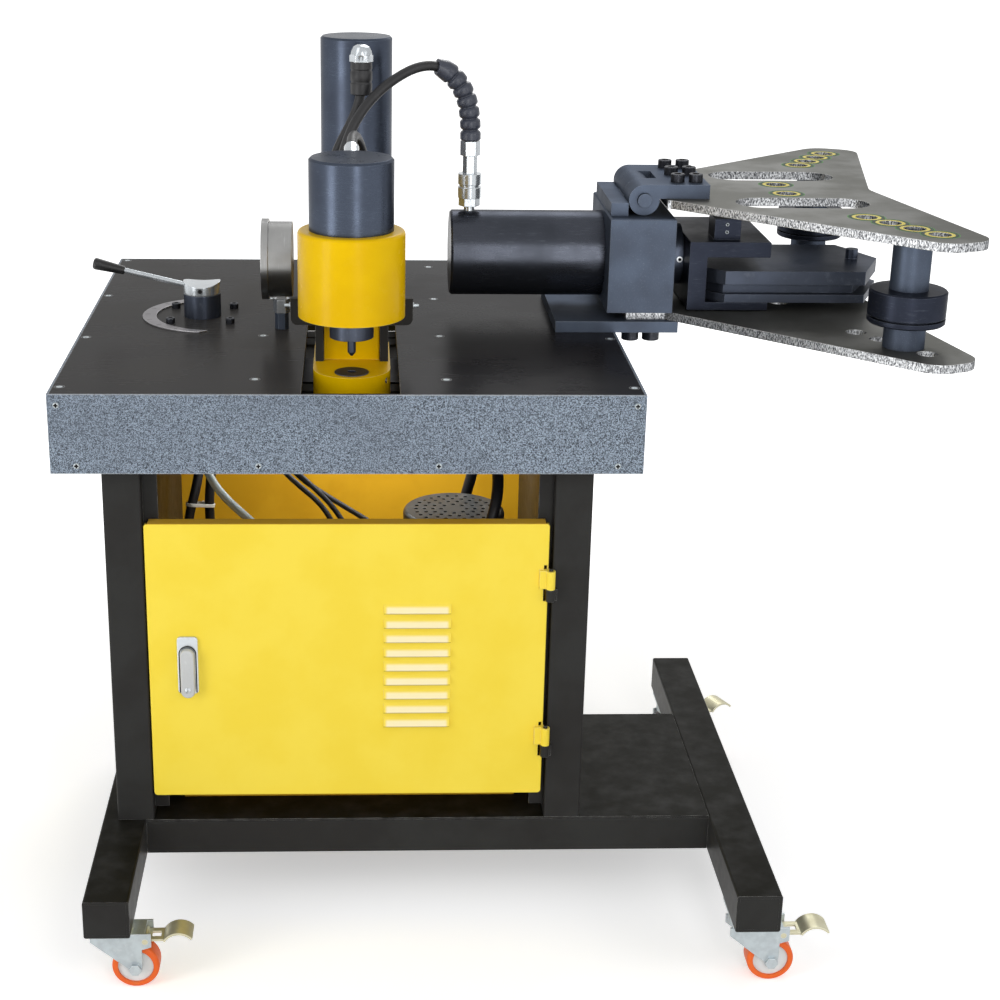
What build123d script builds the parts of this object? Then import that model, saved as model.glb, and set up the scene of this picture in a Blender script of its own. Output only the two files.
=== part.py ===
"""Busbar processing machine: a punch, a cutter and a bender on one hydraulic table with casters.

All sizes are millimetres. The layout is measured from the middle of the table's front edge, and the
frame's origin lies on the floor under the middle of the whole machine, with +Z up and the front at -Y.
"""

import os
from math import cos, pi, radians, sin, sqrt, tan

from build123d import *

os.makedirs("parts", exist_ok=True)

# Whole machine
table_x = -224.0  # middle of the table, left of the origin because the bender overhangs to the right
front_y = -313.0  # front edge of the table
fit = 0.05  # running clearance on a radius
seat = 0.1  # gap between loose pieces that share a node

# Casters
caster_h = 100.0
caster_inset = 52.0  # from a runner's end to the swivel axis
caster_trail = 30.0
wheel_d = 63.0
wheel_w = 28.0
tyre_t = 8.0
hub_face_in = 3.0
axle_r = 5.0
axle_head_r = 8.5
axle_head_t = 5.0
cheek_t = 3.0
cheek_gap = 1.5
plate_len = 72.0
plate_side = 58.0
caster_plate_t = 4.0
race_r = 23.0
race_t = 4.0
race_gap = 0.5
crown_r = 28.0
crown_t = 7.5
bridge_t = 4.0
king_r = 6.0
king_nut_r = 10.0
king_nut_t = 6.0
pedal_pivot_x = 44.0
pedal_pivot_z = 72.0
pedal_pivot_r = 4.0
pedal_t = 3.0
pedal_w = 34.0
pedal_window = 12.0
tread_r = 24.0
tread_out = 44.0  # from the pivot to the middle of the tread's arch
tread_drop = 12.0
tread_from = 40.0
tread_to = 150.0
fork_shoulder = 12.0
fork_tip_r = 9.5
rear_right_heading = 25.0

# Base
runner_w = 60.0
runner_h = 54.0
runner_len = 742.0
runner_front = -183.0
left_runner_x = -313.0
right_runner_x = 536.0
base_wall = 4.0
cap_t = 3.0
cross_d = 50.0
tube_round = 3.0
deck_t = 3.0
deck_back = 350.0

# Legs and table
leg_w = 50.0
leg_wall = 3.0
leg_span = 644.0
leg_front = 29.0
table_w = 764.0
table_d = 793.0
table_top = 779.0
plate_t = 10.0
slot_x = 2.5
slot_w = 127.0
apron_h = 106.0
apron_rear_more = 16.0  # how far the rear panel hangs below the others
apron_t = 3.0
rail_t = 40.0
rail_h = 90.0
rail_wall = 3.0
centre_rail_h = 50.0
centre_rail_off = 125.0
punch_rail_front = 100.0
punch_rail_back = 220.0
cutter_rail_front = 470.0

# Table and apron screws
screw_r = 3.0
screw_head_r = 7.0
screw_gap = 0.1
edge_screw_in = 12.0
edge_screw_first = 35.0
edge_screw_last = 14.0  # from the table's rear edge
inner_screw_first = 72.0
inner_screw_last = 52.0
screw_rows = 4
apron_screw_r = 2.5
apron_head_r = 4.0
apron_head_t = 2.5
apron_screw_top = 14.0
apron_screw_low = 95.0
apron_screw_end = 34.0
apron_screw_count = 4

# Cabinet
panel_t = 2.0
panel_bottom = 160.0
panel_drop = 107.0  # from the table's top to the panels' top
strip_w = 20.0
strip_d = 18.0
strip_t = 3.0
strip_y = 48.0
strip_bottom = 165.0
door_y = 27.0
door_skin = 2.0
door_flange = 18.0
door_left_gap = 2.0
door_right_gap = 6.0
door_bottom = 193.0
door_top = 594.0
door_corner = 5.0
door_edge = 1.5
hinge_off = 3.0  # from the leg's inner face to the hinge axis, towards the door
hinge_out = 6.0  # from the door's face to the hinge axis, towards the front
hinge_r = 6.0
hinge_pin_r = 3.0
knuckle_h = 17.0
door_knuckle_h = 26.0
hinge_high = 503.0  # where the door's knuckle sits on the leg's
hinge_low = 271.0
notch_w = 6.0
notch_margin = 3.0
louvre_count = 9
louvre_pitch = 21.0
louvre_left = 46.5
louvre_w = 90.0
louvre_h = 12.5
louvre_first_top = 479.5
louvre_out = 6.0
louvre_t = 1.5

# Door lock
lock_x = -217.5
lock_z = 405.0
bezel_w = 27.5
bezel_h = 83.0
bezel_mid_z = 391.7
bezel_t = 3.0
lock_shaft_r = 8.0
lock_shaft_gap = 0.3
lock_handle_w = 19.0
lock_handle_len = 71.0
lock_handle_drop = 22.5
lock_handle_t = 7.0
lock_handle_gap = 3.0
cam_len = 45.0
cam_w = 14.0
cam_t = 3.0
cam_gap = 2.0

# Oil tank and motor
tank_half = 235.0
tank_front = 95.0
tank_h = 176.0
tank_wall = 3.0
lid_t = 5.0
pump_r = 42.0
pump_len = 120.0
motor_x = 148.0
motor_y = 215.0
motor_flange_r = 78.0
motor_flange_t = 10.0
motor_r = 62.0
motor_h = 150.0
fin_count = 28
fin_t = 2.5
fin_out = 6.0
cowl_r = 72.0
cowl_h = 52.0
cowl_wall = 2.0
cowl_hole_r = 3.0
cowl_ring_radii = (18.0, 30.0, 42.0, 54.0)
cowl_ring_counts = (8, 14, 20, 26)
motor_stub_r = 14.0
terminal_out = 92.0  # from the motor's axis to the box's face
terminal_w = 60.0
terminal_h = 60.0
terminal_up = 55.0

# Selector valve and lever
valve_x = -216.5
valve_y = 409.5
valve_w = 92.0
valve_d = 96.0
valve_h = 68.0
post_r = 27.0
post_h = 34.0
lever_shaft_r = 8.0
lever_shaft_hole_gap = 0.3
hub_h = 18.5
hub_gap = 0.5
hub_saddle_d = 6.0
lever_rod_in = 16.0  # from the hub's axis to the rod's end
lever_rod_r = 4.0
lever_rod_len = 127.0
lever_rod_lift = 13.3  # degrees above level
lever_rod_z = 12.5
grip_len = 46.0
grip_r_inner = 6.0
grip_r_outer = 9.0
grip_sink = 12.0
valve_screw_dx = 86.0
valve_screw_dy = 90.0
valve_screw_r = 4.0
valve_screw_head_r = 6.5
valve_screw_head_h = 8.0
valve_screw_len = 30.0
dial_x = -200.0
dial_out_r = 104.0
dial_in_r = 94.6
dial_shift = 10.6
dial_t = 2.0
dial_from = 115.0
dial_to = 262.0

# Pressure gauge, facing left
gauge_x = -81.0  # back of the case
gauge_y = 337.0
gauge_z = table_top + 101.0
gauge_r = 53.0
gauge_depth = 33.0
gauge_wall = 2.5
bezel_out_r = 57.0
bezel_in_r = 48.0
bezel_depth = 10.0
lens_r = 50.0
lens_t = 3.0
dial_plate_t = 1.5
dial_plate_in = 8.0
needle_len = 38.0
needle_tail = 12.0
needle_w = 3.0
needle_t = 1.0
needle_hub_r = 4.5
needle_pin_r = 1.5
needle_gap = 3.0
needle_rest = 225.0  # degrees round from 3 o'clock as seen from the front of the gauge
gauge_stub = 14.0
gauge_nut_af = 21.0
gauge_nut_h = 20.0
gauge_adapter_af = 17.0
gauge_adapter_h = 24.0

# Punch unit
punch_x = 3.5
punch_y = 106.0
jaw_w = 103.0
jaw_front = 76.6
frame_back = 262.0
spine_front = 170.0
spine_w = 75.0
collar_r = 70.0
collar_bottom = table_top + 78.0
collar_top = collar_bottom + 113.0
collar_round = 5.0
arm_bottom = collar_bottom + 15.0
punch_rod_r = 29.0
punch_rod_bottom = collar_bottom - 29.0
punch_piston_r = 40.0
punch_piston_t = 25.0
punch_pin_r = 5.5
punch_pin_len = 26.0
punch_pin_point = 5.0
punch_cyl_r = 55.0
punch_cyl_h = 93.0
punch_cyl_cap = 18.0
cyl_chamfer = 3.0
die_r = 22.6
die_t = 18.0
die_proud = 1.0
die_hole_r = 5.9
slug_hole_r = 9.0
die_screw_r = 4.0
die_screw_z = table_top - 11.0
yoke_front = 160.0
yoke_back = 215.0
yoke_ear_t = 10.0
yoke_in = 38.0
yoke_out = 49.0
yoke_ear_in = 70.0
yoke_ear_out = 82.0
yoke_shelf_low = collar_bottom - 28.0
yoke_shelf_high = collar_bottom - 16.0
yoke_ear_top = collar_bottom + 9.0
yoke_round = 9.0

# Cutter unit
cutter_x = 9.5
cutter_y = 480.0
cutter_frame_w = 92.0
cutter_front = 388.0
cutter_back = 650.0
cutter_spine_front = 578.0
cutter_jaw_top = table_top - 11.0
cutter_relief = 20.0
cutter_head_bottom = table_top + 93.0
cutter_head_top = cutter_head_bottom + 90.0
cutter_cyl_r = 52.0
cutter_cyl_h = 214.0
cutter_cyl_cap = 22.0
cutter_rod_r = 26.0
cutter_piston_r = 38.0
cutter_piston_t = 28.0
blade_gap = 0.3
blade_len = 176.0
blade_t = 16.0
blade_h = 46.0
blade_bottom = table_top + 18.0
blade_rake = 6.0
lower_blade_t = 22.0
lower_blade_top = table_top + 1.0

# Bending unit, placed from the table's right edge
bend_edge = table_w / 2
bend_y = 428.0
bend_z = table_top + 93.0
bend_base_left = bend_edge - 87.0
bend_base_right = bend_edge + 90.0
bend_base_half = 110.0
bend_base_t = 16.0
bend_block_left = bend_edge - 13.0
bend_block_right = bend_edge + 81.0
bend_block_half = 106.0
bend_block_top = bend_z + 71.0
bend_block_edge = 2.0
bend_cyl_r = 62.0
bend_cyl_left = bend_edge - 236.0
bend_cyl_cap = 20.0
bend_piston_r = 50.0
bend_piston_t = 40.0
bend_piston_left = bend_cyl_left + bend_cyl_cap + 24.0
bend_rod_r = 45.0
bend_bolt_r = 8.0
bend_bolt_head_r = 12.5
bend_bolt_head_h = 16.0
bend_bolt_first = bend_edge + 25.0
bend_bolt_pitch = 30.0
bend_bolt_half = 84.0
bend_bolt_deep = 25.0
holder_left = bend_edge + 104.0
holder_right = bend_edge + 221.0
holder_half = 94.0
holder_bottom = table_top + 30.0
holder_lip = 11.0
holder_mouth_left = bend_edge + 130.0
holder_mouth_top = bend_z + 14.0
holder_top = bend_z + 36.0
holder_edge = 1.0
post_left = bend_edge + 141.0
post_w = 38.0
post_front = 352.0
post_d = 48.0
holder_post_h = 30.0
bend_tip_x = bend_edge + 401.0
bend_nose = 40.0
bend_tool_left = bend_edge + 132.0
bend_tool_cut = 26.0
low_plate_t = 12.0
bend_groove = 14.0
top_plate_t = 20.0
groove_deep = 14.0
tie_bolt_back = 38.0
tie_bolt_r = 9.0
tie_bolt_h = 14.0

# Bending wings
wing_t = 12.0
wing_top = bend_z + 96.0
wing_root = 96.0
wing_flare_x = bend_edge + 73.0
wing_left_low = bend_edge + 16.0
wing_left_high = bend_edge + 68.0
wing_tip_x = bend_edge + 386.0
wing_tip_half = 388.0
wing_nose_x = bend_edge + 453.0
wing_nose_half = 360.0
wing_notch_x = bend_edge + 380.0
wing_tip_round = 40.0
wing_nose_round = 35.0
wing_notch_round = 60.0
pin_hole_r = 14.0
pin_hole_x = bend_edge + 322.0
pin_hole_half = 210.0
pin_hole_step_x = 22.5
pin_hole_step_y = 38.0
pin_hole_count = 4
pin_hole_used = 2
mid_hole_x = bend_edge + 250.0
mid_hole_half = 36.5
wing_slot_x = bend_edge + 257.0
wing_slot_half = 109.0
wing_slot_len = 190.0
wing_slot_w = 76.0

# Wing hinge
hinge_x = bend_edge + 36.0
hinge_z = wing_top - 2.0
eye_r = 22.0
wing_pin_r = 10.0
leaf_half = 85.0
leaf_right = bend_edge + 129.0
leaf_t = 20.0
knuckle_half = 30.0
knuckle_gap = 1.0
hinge_base_right = bend_edge + 14.0
hinge_base_h = 19.0
leaf_bolt_r = 6.0
leaf_bolt_head_r = 10.0
leaf_bolt_head_h = 12.0
leaf_bolt_first = bend_edge + 86.0
leaf_bolt_pitch = 26.0
leaf_bolt_spread = 60.0

# Bending pins and rollers
pin_low_r = 28.0
pin_r = 26.0
roller_r = 52.0
roller_bottom = table_top + 62.0
roller_h = 46.0
roller_groove_z = 8.0
roller_groove_w = 3.0
roller_groove_d = 6.0
roller_edge = 2.0
roller_gap = 0.3
spigot_low_gap = 0.2
spigot_high_gap = 0.75
pin_top_gap = 0.6
spigot_high_len = 9.0

# Hoses and fittings
hose_d = 14.0
manifold_left = -100.0
manifold_right = 105.0
manifold_front = 268.0
manifold_back = 392.0
manifold_h = 38.0
union_af = 24.0
union_h = 24.0
pipe_r = 4.0
pipe_first_y = 370.0
pipe_pitch = 9.0
pipe_drop = 18.0
coupler_x = bend_cyl_left + 28.0
coupler_stub_r = 8.0
coupler_stub_h = 7.0
coupler_hex_af = 27.0
coupler_hex_h = 12.0
coupler_r = 17.0
coupler_h = 35.0
coupler_groove = 4.0
coupler_groove_d = 2.0
coupler_stem_af = 18.0
coupler_stem_h = 26.0
coupler_nut_af = 25.0
coupler_nut_h = 21.0
elbow_x = 16.5
elbow_drop = 16.0
elbow_out = 24.0
elbow_r = 10.0
sleeve_r = 12.0
sleeve_len = 36.0
punch_port_drop = 11.0
punch_port_tilt = 15.0  # degrees above level
punch_port_len = 32.0
punch_port_r = 10.0
guard_r = 14.5
guard_neck_r = 12.3
guard_bore_r = 8.2
guard_ribs = 7
guard_pitch = 14.0
line_d = 14.0
drain_d = 12.0
cable_d = 8.0
feed_d = 16.0

# Worked-out places
layout = Plane((table_x, front_y, 0))
runner_top = caster_h + runner_h
runner_mid = caster_h + runner_h / 2
runner_back = runner_front + runner_len
inner_left = left_runner_x + runner_w / 2
inner_right = right_runner_x - runner_w / 2
leg_back = runner_back
plate_bottom = table_top - plate_t
rail_bottom = plate_bottom - rail_h
panel_top = table_top - panel_drop
cross_rail_top = plate_bottom - centre_rail_h
leg_in = leg_span / 2 - leg_w
half_w = table_w / 2
door_back = door_y + door_skin
door_left = -leg_in + door_left_gap
door_right = leg_in - door_right_gap
bezel_face = door_y - bezel_t - seat
tank_back = deck_back - 5.0
lid_bottom = runner_top + tank_h
lid_top = lid_bottom + lid_t
wing_low_bottom = table_top + bend_base_t
wing_low_top = wing_low_bottom + wing_t
wing_bottom = wing_top - wing_t
bend_cyl_top = bend_z + bend_cyl_r
punch_cyl_top = collar_top + punch_cyl_h
cutter_cyl_top = cutter_head_top + cutter_cyl_h
pin_x = pin_hole_x + pin_hole_used * pin_hole_step_x
pin_half = pin_hole_half + pin_hole_used * pin_hole_step_y


def plan(z):
    """Level plane at height z: its x runs right and its y runs back."""
    return layout.offset(z)


def front(y):
    """Upright plane that faces the front, y behind the table's front edge."""
    return Plane((table_x, front_y + y, 0), x_dir=(1, 0, 0), z_dir=(0, -1, 0))


def side(x):
    """Upright plane that faces right, x from the table's middle: its x runs back, its y runs up."""
    return Plane((table_x + x, front_y, 0), x_dir=(0, 1, 0), z_dir=(1, 0, 0))


def block(x, y, z, mode=Mode.ADD):
    """Box between pairs of low and high sides, in the layout's own measures."""
    with Locations(((x[0] + x[1]) / 2, (y[0] + y[1]) / 2, (z[0] + z[1]) / 2)):
        Box(x[1] - x[0], y[1] - y[0], z[1] - z[0], mode=mode)


def post(x, y, z_low, z_high, radius, mode=Mode.ADD):
    """Upright cylinder."""
    with Locations((x, y, (z_low + z_high) / 2)):
        Cylinder(radius, z_high - z_low, mode=mode)


def hex_post(x, y, z_low, z_high, across_flats):
    """Upright hexagon bar."""
    with BuildSketch(plan(z_low)) as hexagon:
        with Locations((x, y)):
            RegularPolygon(across_flats / 2, 6, major_radius=False)
    extrude(hexagon.sketch, amount=z_high - z_low)


def tube_section(width, height, wall):
    """Rounded rectangular tube, for the sketch in hand."""
    RectangleRounded(width, height, tube_round)
    Rectangle(width - 2 * wall, height - 2 * wall, mode=Mode.SUBTRACT)


def finish(piece, label):
    """Name a finished piece and write it."""
    piece.part.label = label
    export_step(piece.part, f"parts/{label}.step")


# Base: two runners with end caps, four tubes between them and the deck plate
with BuildPart(layout) as base_frame:
    for runner_x in (left_runner_x, right_runner_x):
        with BuildSketch(front(runner_back)):
            with Locations((runner_x, runner_mid)):
                tube_section(runner_w, runner_h, base_wall)
        extrude(amount=runner_len)
        for cap_y in (runner_front, runner_back - cap_t):
            block(
                (runner_x - runner_w / 2 + base_wall + seat, runner_x + runner_w / 2 - base_wall - seat),
                (cap_y, cap_y + cap_t),
                (caster_h + base_wall + seat, runner_top - base_wall - seat),
            )
    low_tube_h = runner_h - deck_t - seat
    low_tube_mid = caster_h + low_tube_h / 2
    with BuildSketch(side(inner_left + seat)):
        with Locations((leg_front + cross_d / 2, low_tube_mid)):
            tube_section(cross_d, low_tube_h, base_wall)
    extrude(amount=inner_right - inner_left - 2 * seat)
    with BuildSketch(side(inner_left + seat)):
        with Locations((leg_back - cross_d / 2, runner_mid)):
            tube_section(cross_d, runner_h, base_wall)
    extrude(amount=leg_span / 2 - inner_left - seat)
    with BuildSketch(front(leg_back - cross_d - seat)):
        with Locations(((leg_in + leg_span / 2) / 2, low_tube_mid)):
            tube_section(leg_w, low_tube_h, base_wall)
    extrude(amount=leg_back - leg_front - 2 * (cross_d + seat))
    with BuildSketch(side(leg_span / 2 + seat)):
        with Locations((deck_back - cross_d / 2, low_tube_mid)):
            tube_section(cross_d, low_tube_h, base_wall)
    extrude(amount=inner_right - leg_span / 2 - 2 * seat)
    block((inner_left + seat, inner_right - seat), (leg_front, deck_back), (runner_top - deck_t, runner_top))
finish(base_frame, "base_frame")

# Legs, with the fixed hinge knuckles and pins on the front right one
hinge_axis_x = leg_in - hinge_off
hinge_axis_y = door_y - hinge_out
with BuildPart(layout) as legs:
    with BuildSketch(plan(runner_top)):
        for leg_side in (-1, 1):
            for leg_y in (leg_front + leg_w / 2, leg_back - leg_w / 2):
                with Locations((leg_side * (leg_span - leg_w) / 2, leg_y)):
                    tube_section(leg_w, leg_w, leg_wall)
    extrude(amount=rail_bottom - runner_top)
    for hinge_rest in (hinge_high, hinge_low):
        post(hinge_axis_x, hinge_axis_y, hinge_rest - knuckle_h, hinge_rest, hinge_r)
        block(
            (hinge_axis_x, leg_in + tube_round + hinge_off),
            (hinge_axis_y, leg_front - seat),
            (hinge_rest - knuckle_h, hinge_rest),
        )
        pin_top = hinge_rest + door_knuckle_h + notch_margin
        post(hinge_axis_x, hinge_axis_y, hinge_rest, pin_top, hinge_pin_r)
finish(legs, "legs")

# Table frame: rails round the edge, two along the slot and four across under the units
rear_rail_front = leg_back - (leg_w + rail_t) / 2
cross_rails = (punch_rail_front, punch_rail_back, cutter_rail_front, rear_rail_front)
with BuildPart(layout) as table_frame:
    for rail_y in (apron_t, table_d - apron_t - rail_t):
        with BuildSketch(side(-half_w + apron_t)):
            with Locations((rail_y + rail_t / 2, rail_bottom + rail_h / 2)):
                tube_section(rail_t, rail_h, rail_wall)
        extrude(amount=table_w - 2 * apron_t)
    long_front = apron_t + rail_t + seat
    long_back = table_d - long_front
    with BuildSketch(front(long_back)):
        for rail_side in (-1, 1):
            with Locations((rail_side * (half_w - apron_t - rail_t / 2), rail_bottom + rail_h / 2)):
                tube_section(rail_t, rail_h, rail_wall)
            with Locations((slot_x + rail_side * centre_rail_off, cross_rail_top + centre_rail_h / 2)):
                tube_section(rail_t, centre_rail_h, rail_wall)
    extrude(amount=long_back - long_front)
    cross_half = half_w - apron_t - rail_t - seat
    with BuildSketch(side(-cross_half)):
        for rail_y in cross_rails:
            with Locations((rail_y + rail_t / 2, (rail_bottom + cross_rail_top - seat) / 2)):
                tube_section(rail_t, cross_rail_top - rail_bottom - seat, rail_wall)
    extrude(amount=2 * cross_half)
finish(table_frame, "table_frame")

# Table plates: two plates with the slot for the punch and the cutter between them
edge_screw_pitch = (table_d - edge_screw_first - edge_screw_last) / (screw_rows - 1)
inner_screw_pitch = (table_d - inner_screw_first - inner_screw_last) / (screw_rows - 1)
edge_screws = [
    (plate_side_sign * (half_w - edge_screw_in), edge_screw_first + row * edge_screw_pitch)
    for plate_side_sign in (-1, 1)
    for row in range(screw_rows)
]
inner_screws = [
    (slot_x + plate_side_sign * centre_rail_off, inner_screw_first + row * inner_screw_pitch)
    for plate_side_sign in (-1, 1)
    for row in range(screw_rows)
]
table_screw_spots = edge_screws + inner_screws
valve_screw_spots = [
    (valve_x + sign_x * valve_screw_dx / 2, valve_y + sign_y * valve_screw_dy / 2)
    for sign_x in (-1, 1)
    for sign_y in (-1, 1)
]
with BuildPart(layout) as table_plates:
    for plate_x in (
        (-half_w + apron_t, slot_x - slot_w / 2),
        (slot_x + slot_w / 2, half_w - apron_t),
    ):
        block(plate_x, (apron_t, table_d - apron_t), (plate_bottom, table_top))
    with Locations(*[(x, y, table_top) for x, y in table_screw_spots]):
        CounterSinkHole(
            screw_r + screw_gap,
            screw_head_r + screw_gap,
            depth=plate_t,
            counter_sink_angle=90,
        )
    with Locations(*[(x, y, table_top) for x, y in valve_screw_spots]):
        Hole(valve_screw_r + screw_gap, depth=plate_t)
    with Locations((valve_x, valve_y, table_top)):
        Hole(lever_shaft_r + lever_shaft_hole_gap, depth=plate_t)
finish(table_plates, "table_plates")

# Apron: four sheets that cover the edge of the table
with BuildPart(layout) as apron_panels:
    apron_z = (table_top - apron_h, table_top)
    block((-half_w, half_w), (0, apron_t), apron_z)
    block((-half_w, half_w), (table_d - apron_t, table_d), (table_top - apron_h - apron_rear_more, table_top))
    for panel_side in (-1, 1):
        side_mid = panel_side * (half_w - apron_t / 2)
        block(
            (side_mid - apron_t / 2, side_mid + apron_t / 2),
            (apron_t + seat, table_d - apron_t - seat),
            apron_z,
        )
    apron_screw_spots = [(sign * (half_w - edge_screw_in), table_top - apron_screw_top) for sign in (-1, 1)]
    apron_screw_pitch = (table_w - 2 * apron_screw_end) / (apron_screw_count - 1)
    apron_screw_spots += [
        (-half_w + apron_screw_end + step * apron_screw_pitch, table_top - apron_screw_low)
        for step in range(apron_screw_count)
    ]
    with BuildSketch(front(apron_t)):
        with Locations(*apron_screw_spots):
            Circle(apron_screw_r + screw_gap)
    extrude(amount=apron_t, mode=Mode.SUBTRACT)
finish(apron_panels, "apron_panels")

# Screws of the table and of the apron
with BuildPart(layout) as table_screws:
    cone_h = screw_head_r - screw_r
    for x, y in table_screw_spots:
        with Locations((x, y, table_top - cone_h / 2)):
            Cone(screw_r, screw_head_r, cone_h)
        post(x, y, plate_bottom, table_top - cone_h, screw_r)
    with BuildSketch(front(0)):
        with Locations(*apron_screw_spots):
            Circle(apron_head_r)
    extrude(amount=apron_head_t)
    with BuildSketch(front(apron_t)):
        with Locations(*apron_screw_spots):
            Circle(apron_screw_r)
    extrude(amount=apron_t)
finish(table_screws, "table_screws")

# Cabinet panels: two sides, the rear and the two upright strips behind the door, each two flat bars
with BuildPart(layout) as cabinet_panels:
    for panel_side in (-1, 1):
        inner_face = panel_side * leg_in
        panel_x = sorted((inner_face, inner_face - panel_side * panel_t))
        block(panel_x, (strip_y + strip_d + seat, leg_back - leg_w / 4), (panel_bottom, panel_top))
        strip_x = sorted((inner_face, inner_face - panel_side * strip_w))
        block(strip_x, (strip_y, strip_y + strip_t), (strip_bottom, panel_top))
        flange_x = sorted((inner_face, inner_face - panel_side * strip_t))
        block(flange_x, (strip_y + strip_t + seat, strip_y + strip_d), (strip_bottom, panel_top))
    block((-leg_in, leg_in), (leg_back - panel_t, leg_back), (panel_bottom, panel_top))
finish(cabinet_panels, "cabinet_panels")

# Front door: sheet with four folded flanges, louvres, hinge knuckles and the lock's bezel
door_w = door_right - door_left
door_mid_x = (door_left + door_right) / 2
door_mid_z = (door_bottom + door_top) / 2
with BuildPart(layout) as front_door:
    with BuildSketch(front(door_back)):
        with Locations((door_mid_x, door_mid_z)):
            RectangleRounded(door_w, door_top - door_bottom, door_corner)
    extrude(amount=door_skin)
    fillet(front_door.faces().sort_by(Axis.Y)[0].edges(), radius=door_edge)
    flange_y = (door_back + seat, door_back + door_flange)
    for flange_low in (door_bottom, door_top - door_skin):
        flange_x = (door_left + door_corner, door_right - door_corner)
        block(flange_x, flange_y, (flange_low, flange_low + door_skin))
    for flange_left in (door_left, door_right - door_skin):
        flange_z = (door_bottom + door_corner, door_top - door_corner)
        block((flange_left, flange_left + door_skin), flange_y, flange_z)
    for hinge_rest in (hinge_high, hinge_low):
        notch_top = hinge_rest + door_knuckle_h + 2 * notch_margin
        block(
            (door_right - notch_w, door_right),
            (door_y, door_back),
            (hinge_rest - knuckle_h - notch_margin, notch_top),
            mode=Mode.SUBTRACT,
        )
        knuckle_z = (hinge_rest + seat, hinge_rest + door_knuckle_h + seat)
        block((door_right - 2 * notch_w, hinge_axis_x), (hinge_axis_y, door_back), knuckle_z)
        post(hinge_axis_x, hinge_axis_y, *knuckle_z, hinge_r)
        post(hinge_axis_x, hinge_axis_y, *knuckle_z, hinge_pin_r + fit, mode=Mode.SUBTRACT)
    for step in range(louvre_count):
        slat_top = louvre_first_top - step * louvre_pitch
        slat_low = slat_top - louvre_h
        block(
            (louvre_left + louvre_t, louvre_left + louvre_w - louvre_t),
            (door_y, door_back),
            (slat_low, slat_top - 2 * louvre_t),
            mode=Mode.SUBTRACT,
        )
        with BuildSketch(side(louvre_left)):
            Polygon(
                (door_y, slat_top),
                (door_y - louvre_out, slat_low + louvre_t),
                (door_y - louvre_out, slat_low),
                (door_y - louvre_out + louvre_t, slat_low),
                (door_y, slat_top - 2 * louvre_t),
                align=None,
            )
        extrude(amount=louvre_w)
        for cheek_x in (louvre_left, louvre_left + louvre_w - louvre_t):
            with BuildSketch(side(cheek_x)):
                Polygon(
                    (door_y, slat_top),
                    (door_y - louvre_out, slat_low + louvre_t),
                    (door_y - louvre_out, slat_low),
                    (door_y, slat_low),
                    align=None,
                )
            extrude(amount=louvre_t)
    with BuildSketch(front(door_y - seat)):
        with Locations((lock_x, bezel_mid_z)):
            RectangleRounded(bezel_w, bezel_h, door_corner)
    extrude(amount=bezel_t)
    with BuildSketch(front(door_back)):
        with Locations((lock_x, lock_z)):
            Circle(lock_shaft_r + lock_shaft_gap)
    extrude(amount=door_skin + bezel_t + seat, mode=Mode.SUBTRACT)
finish(front_door, "front_door")

# Lock handle with its shaft and the cam behind the door
handle_back = bezel_face - lock_handle_gap
cam_front = strip_y + strip_t + cam_gap
with BuildPart(layout) as lock_handle:
    with BuildSketch(front(handle_back)):
        with Locations((lock_x, lock_z - lock_handle_drop)):
            SlotOverall(lock_handle_len, lock_handle_w, rotation=90)
    extrude(amount=lock_handle_t)
    fillet(lock_handle.faces().sort_by(Axis.Y)[0].edges(), radius=lock_handle_t / 3)
    with BuildSketch(front(cam_front - seat)):
        with Locations((lock_x, lock_z)):
            Circle(lock_shaft_r)
    extrude(amount=cam_front - handle_back - 2 * seat)
    with BuildSketch(front(cam_front + cam_t)):
        with Locations((lock_x, lock_z - cam_len / 2 + cam_w / 2)):
            SlotOverall(cam_len, cam_w, rotation=90)
    extrude(amount=cam_t)
finish(lock_handle, "lock_handle")

# Oil tank with its lid and the pump that hangs in it
with BuildPart(layout) as oil_tank:
    block((-tank_half, tank_half), (tank_front, tank_back), (runner_top, lid_bottom - seat))
    block(
        (-tank_half + tank_wall, tank_half - tank_wall),
        (tank_front + tank_wall, tank_back - tank_wall),
        (runner_top + tank_wall, lid_bottom),
        mode=Mode.SUBTRACT,
    )
    block((-tank_half, tank_half), (tank_front, tank_back), (lid_bottom, lid_top))
    post(motor_x, motor_y, lid_bottom - pump_len, lid_bottom - seat, pump_r)
finish(oil_tank, "oil_tank")

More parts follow.
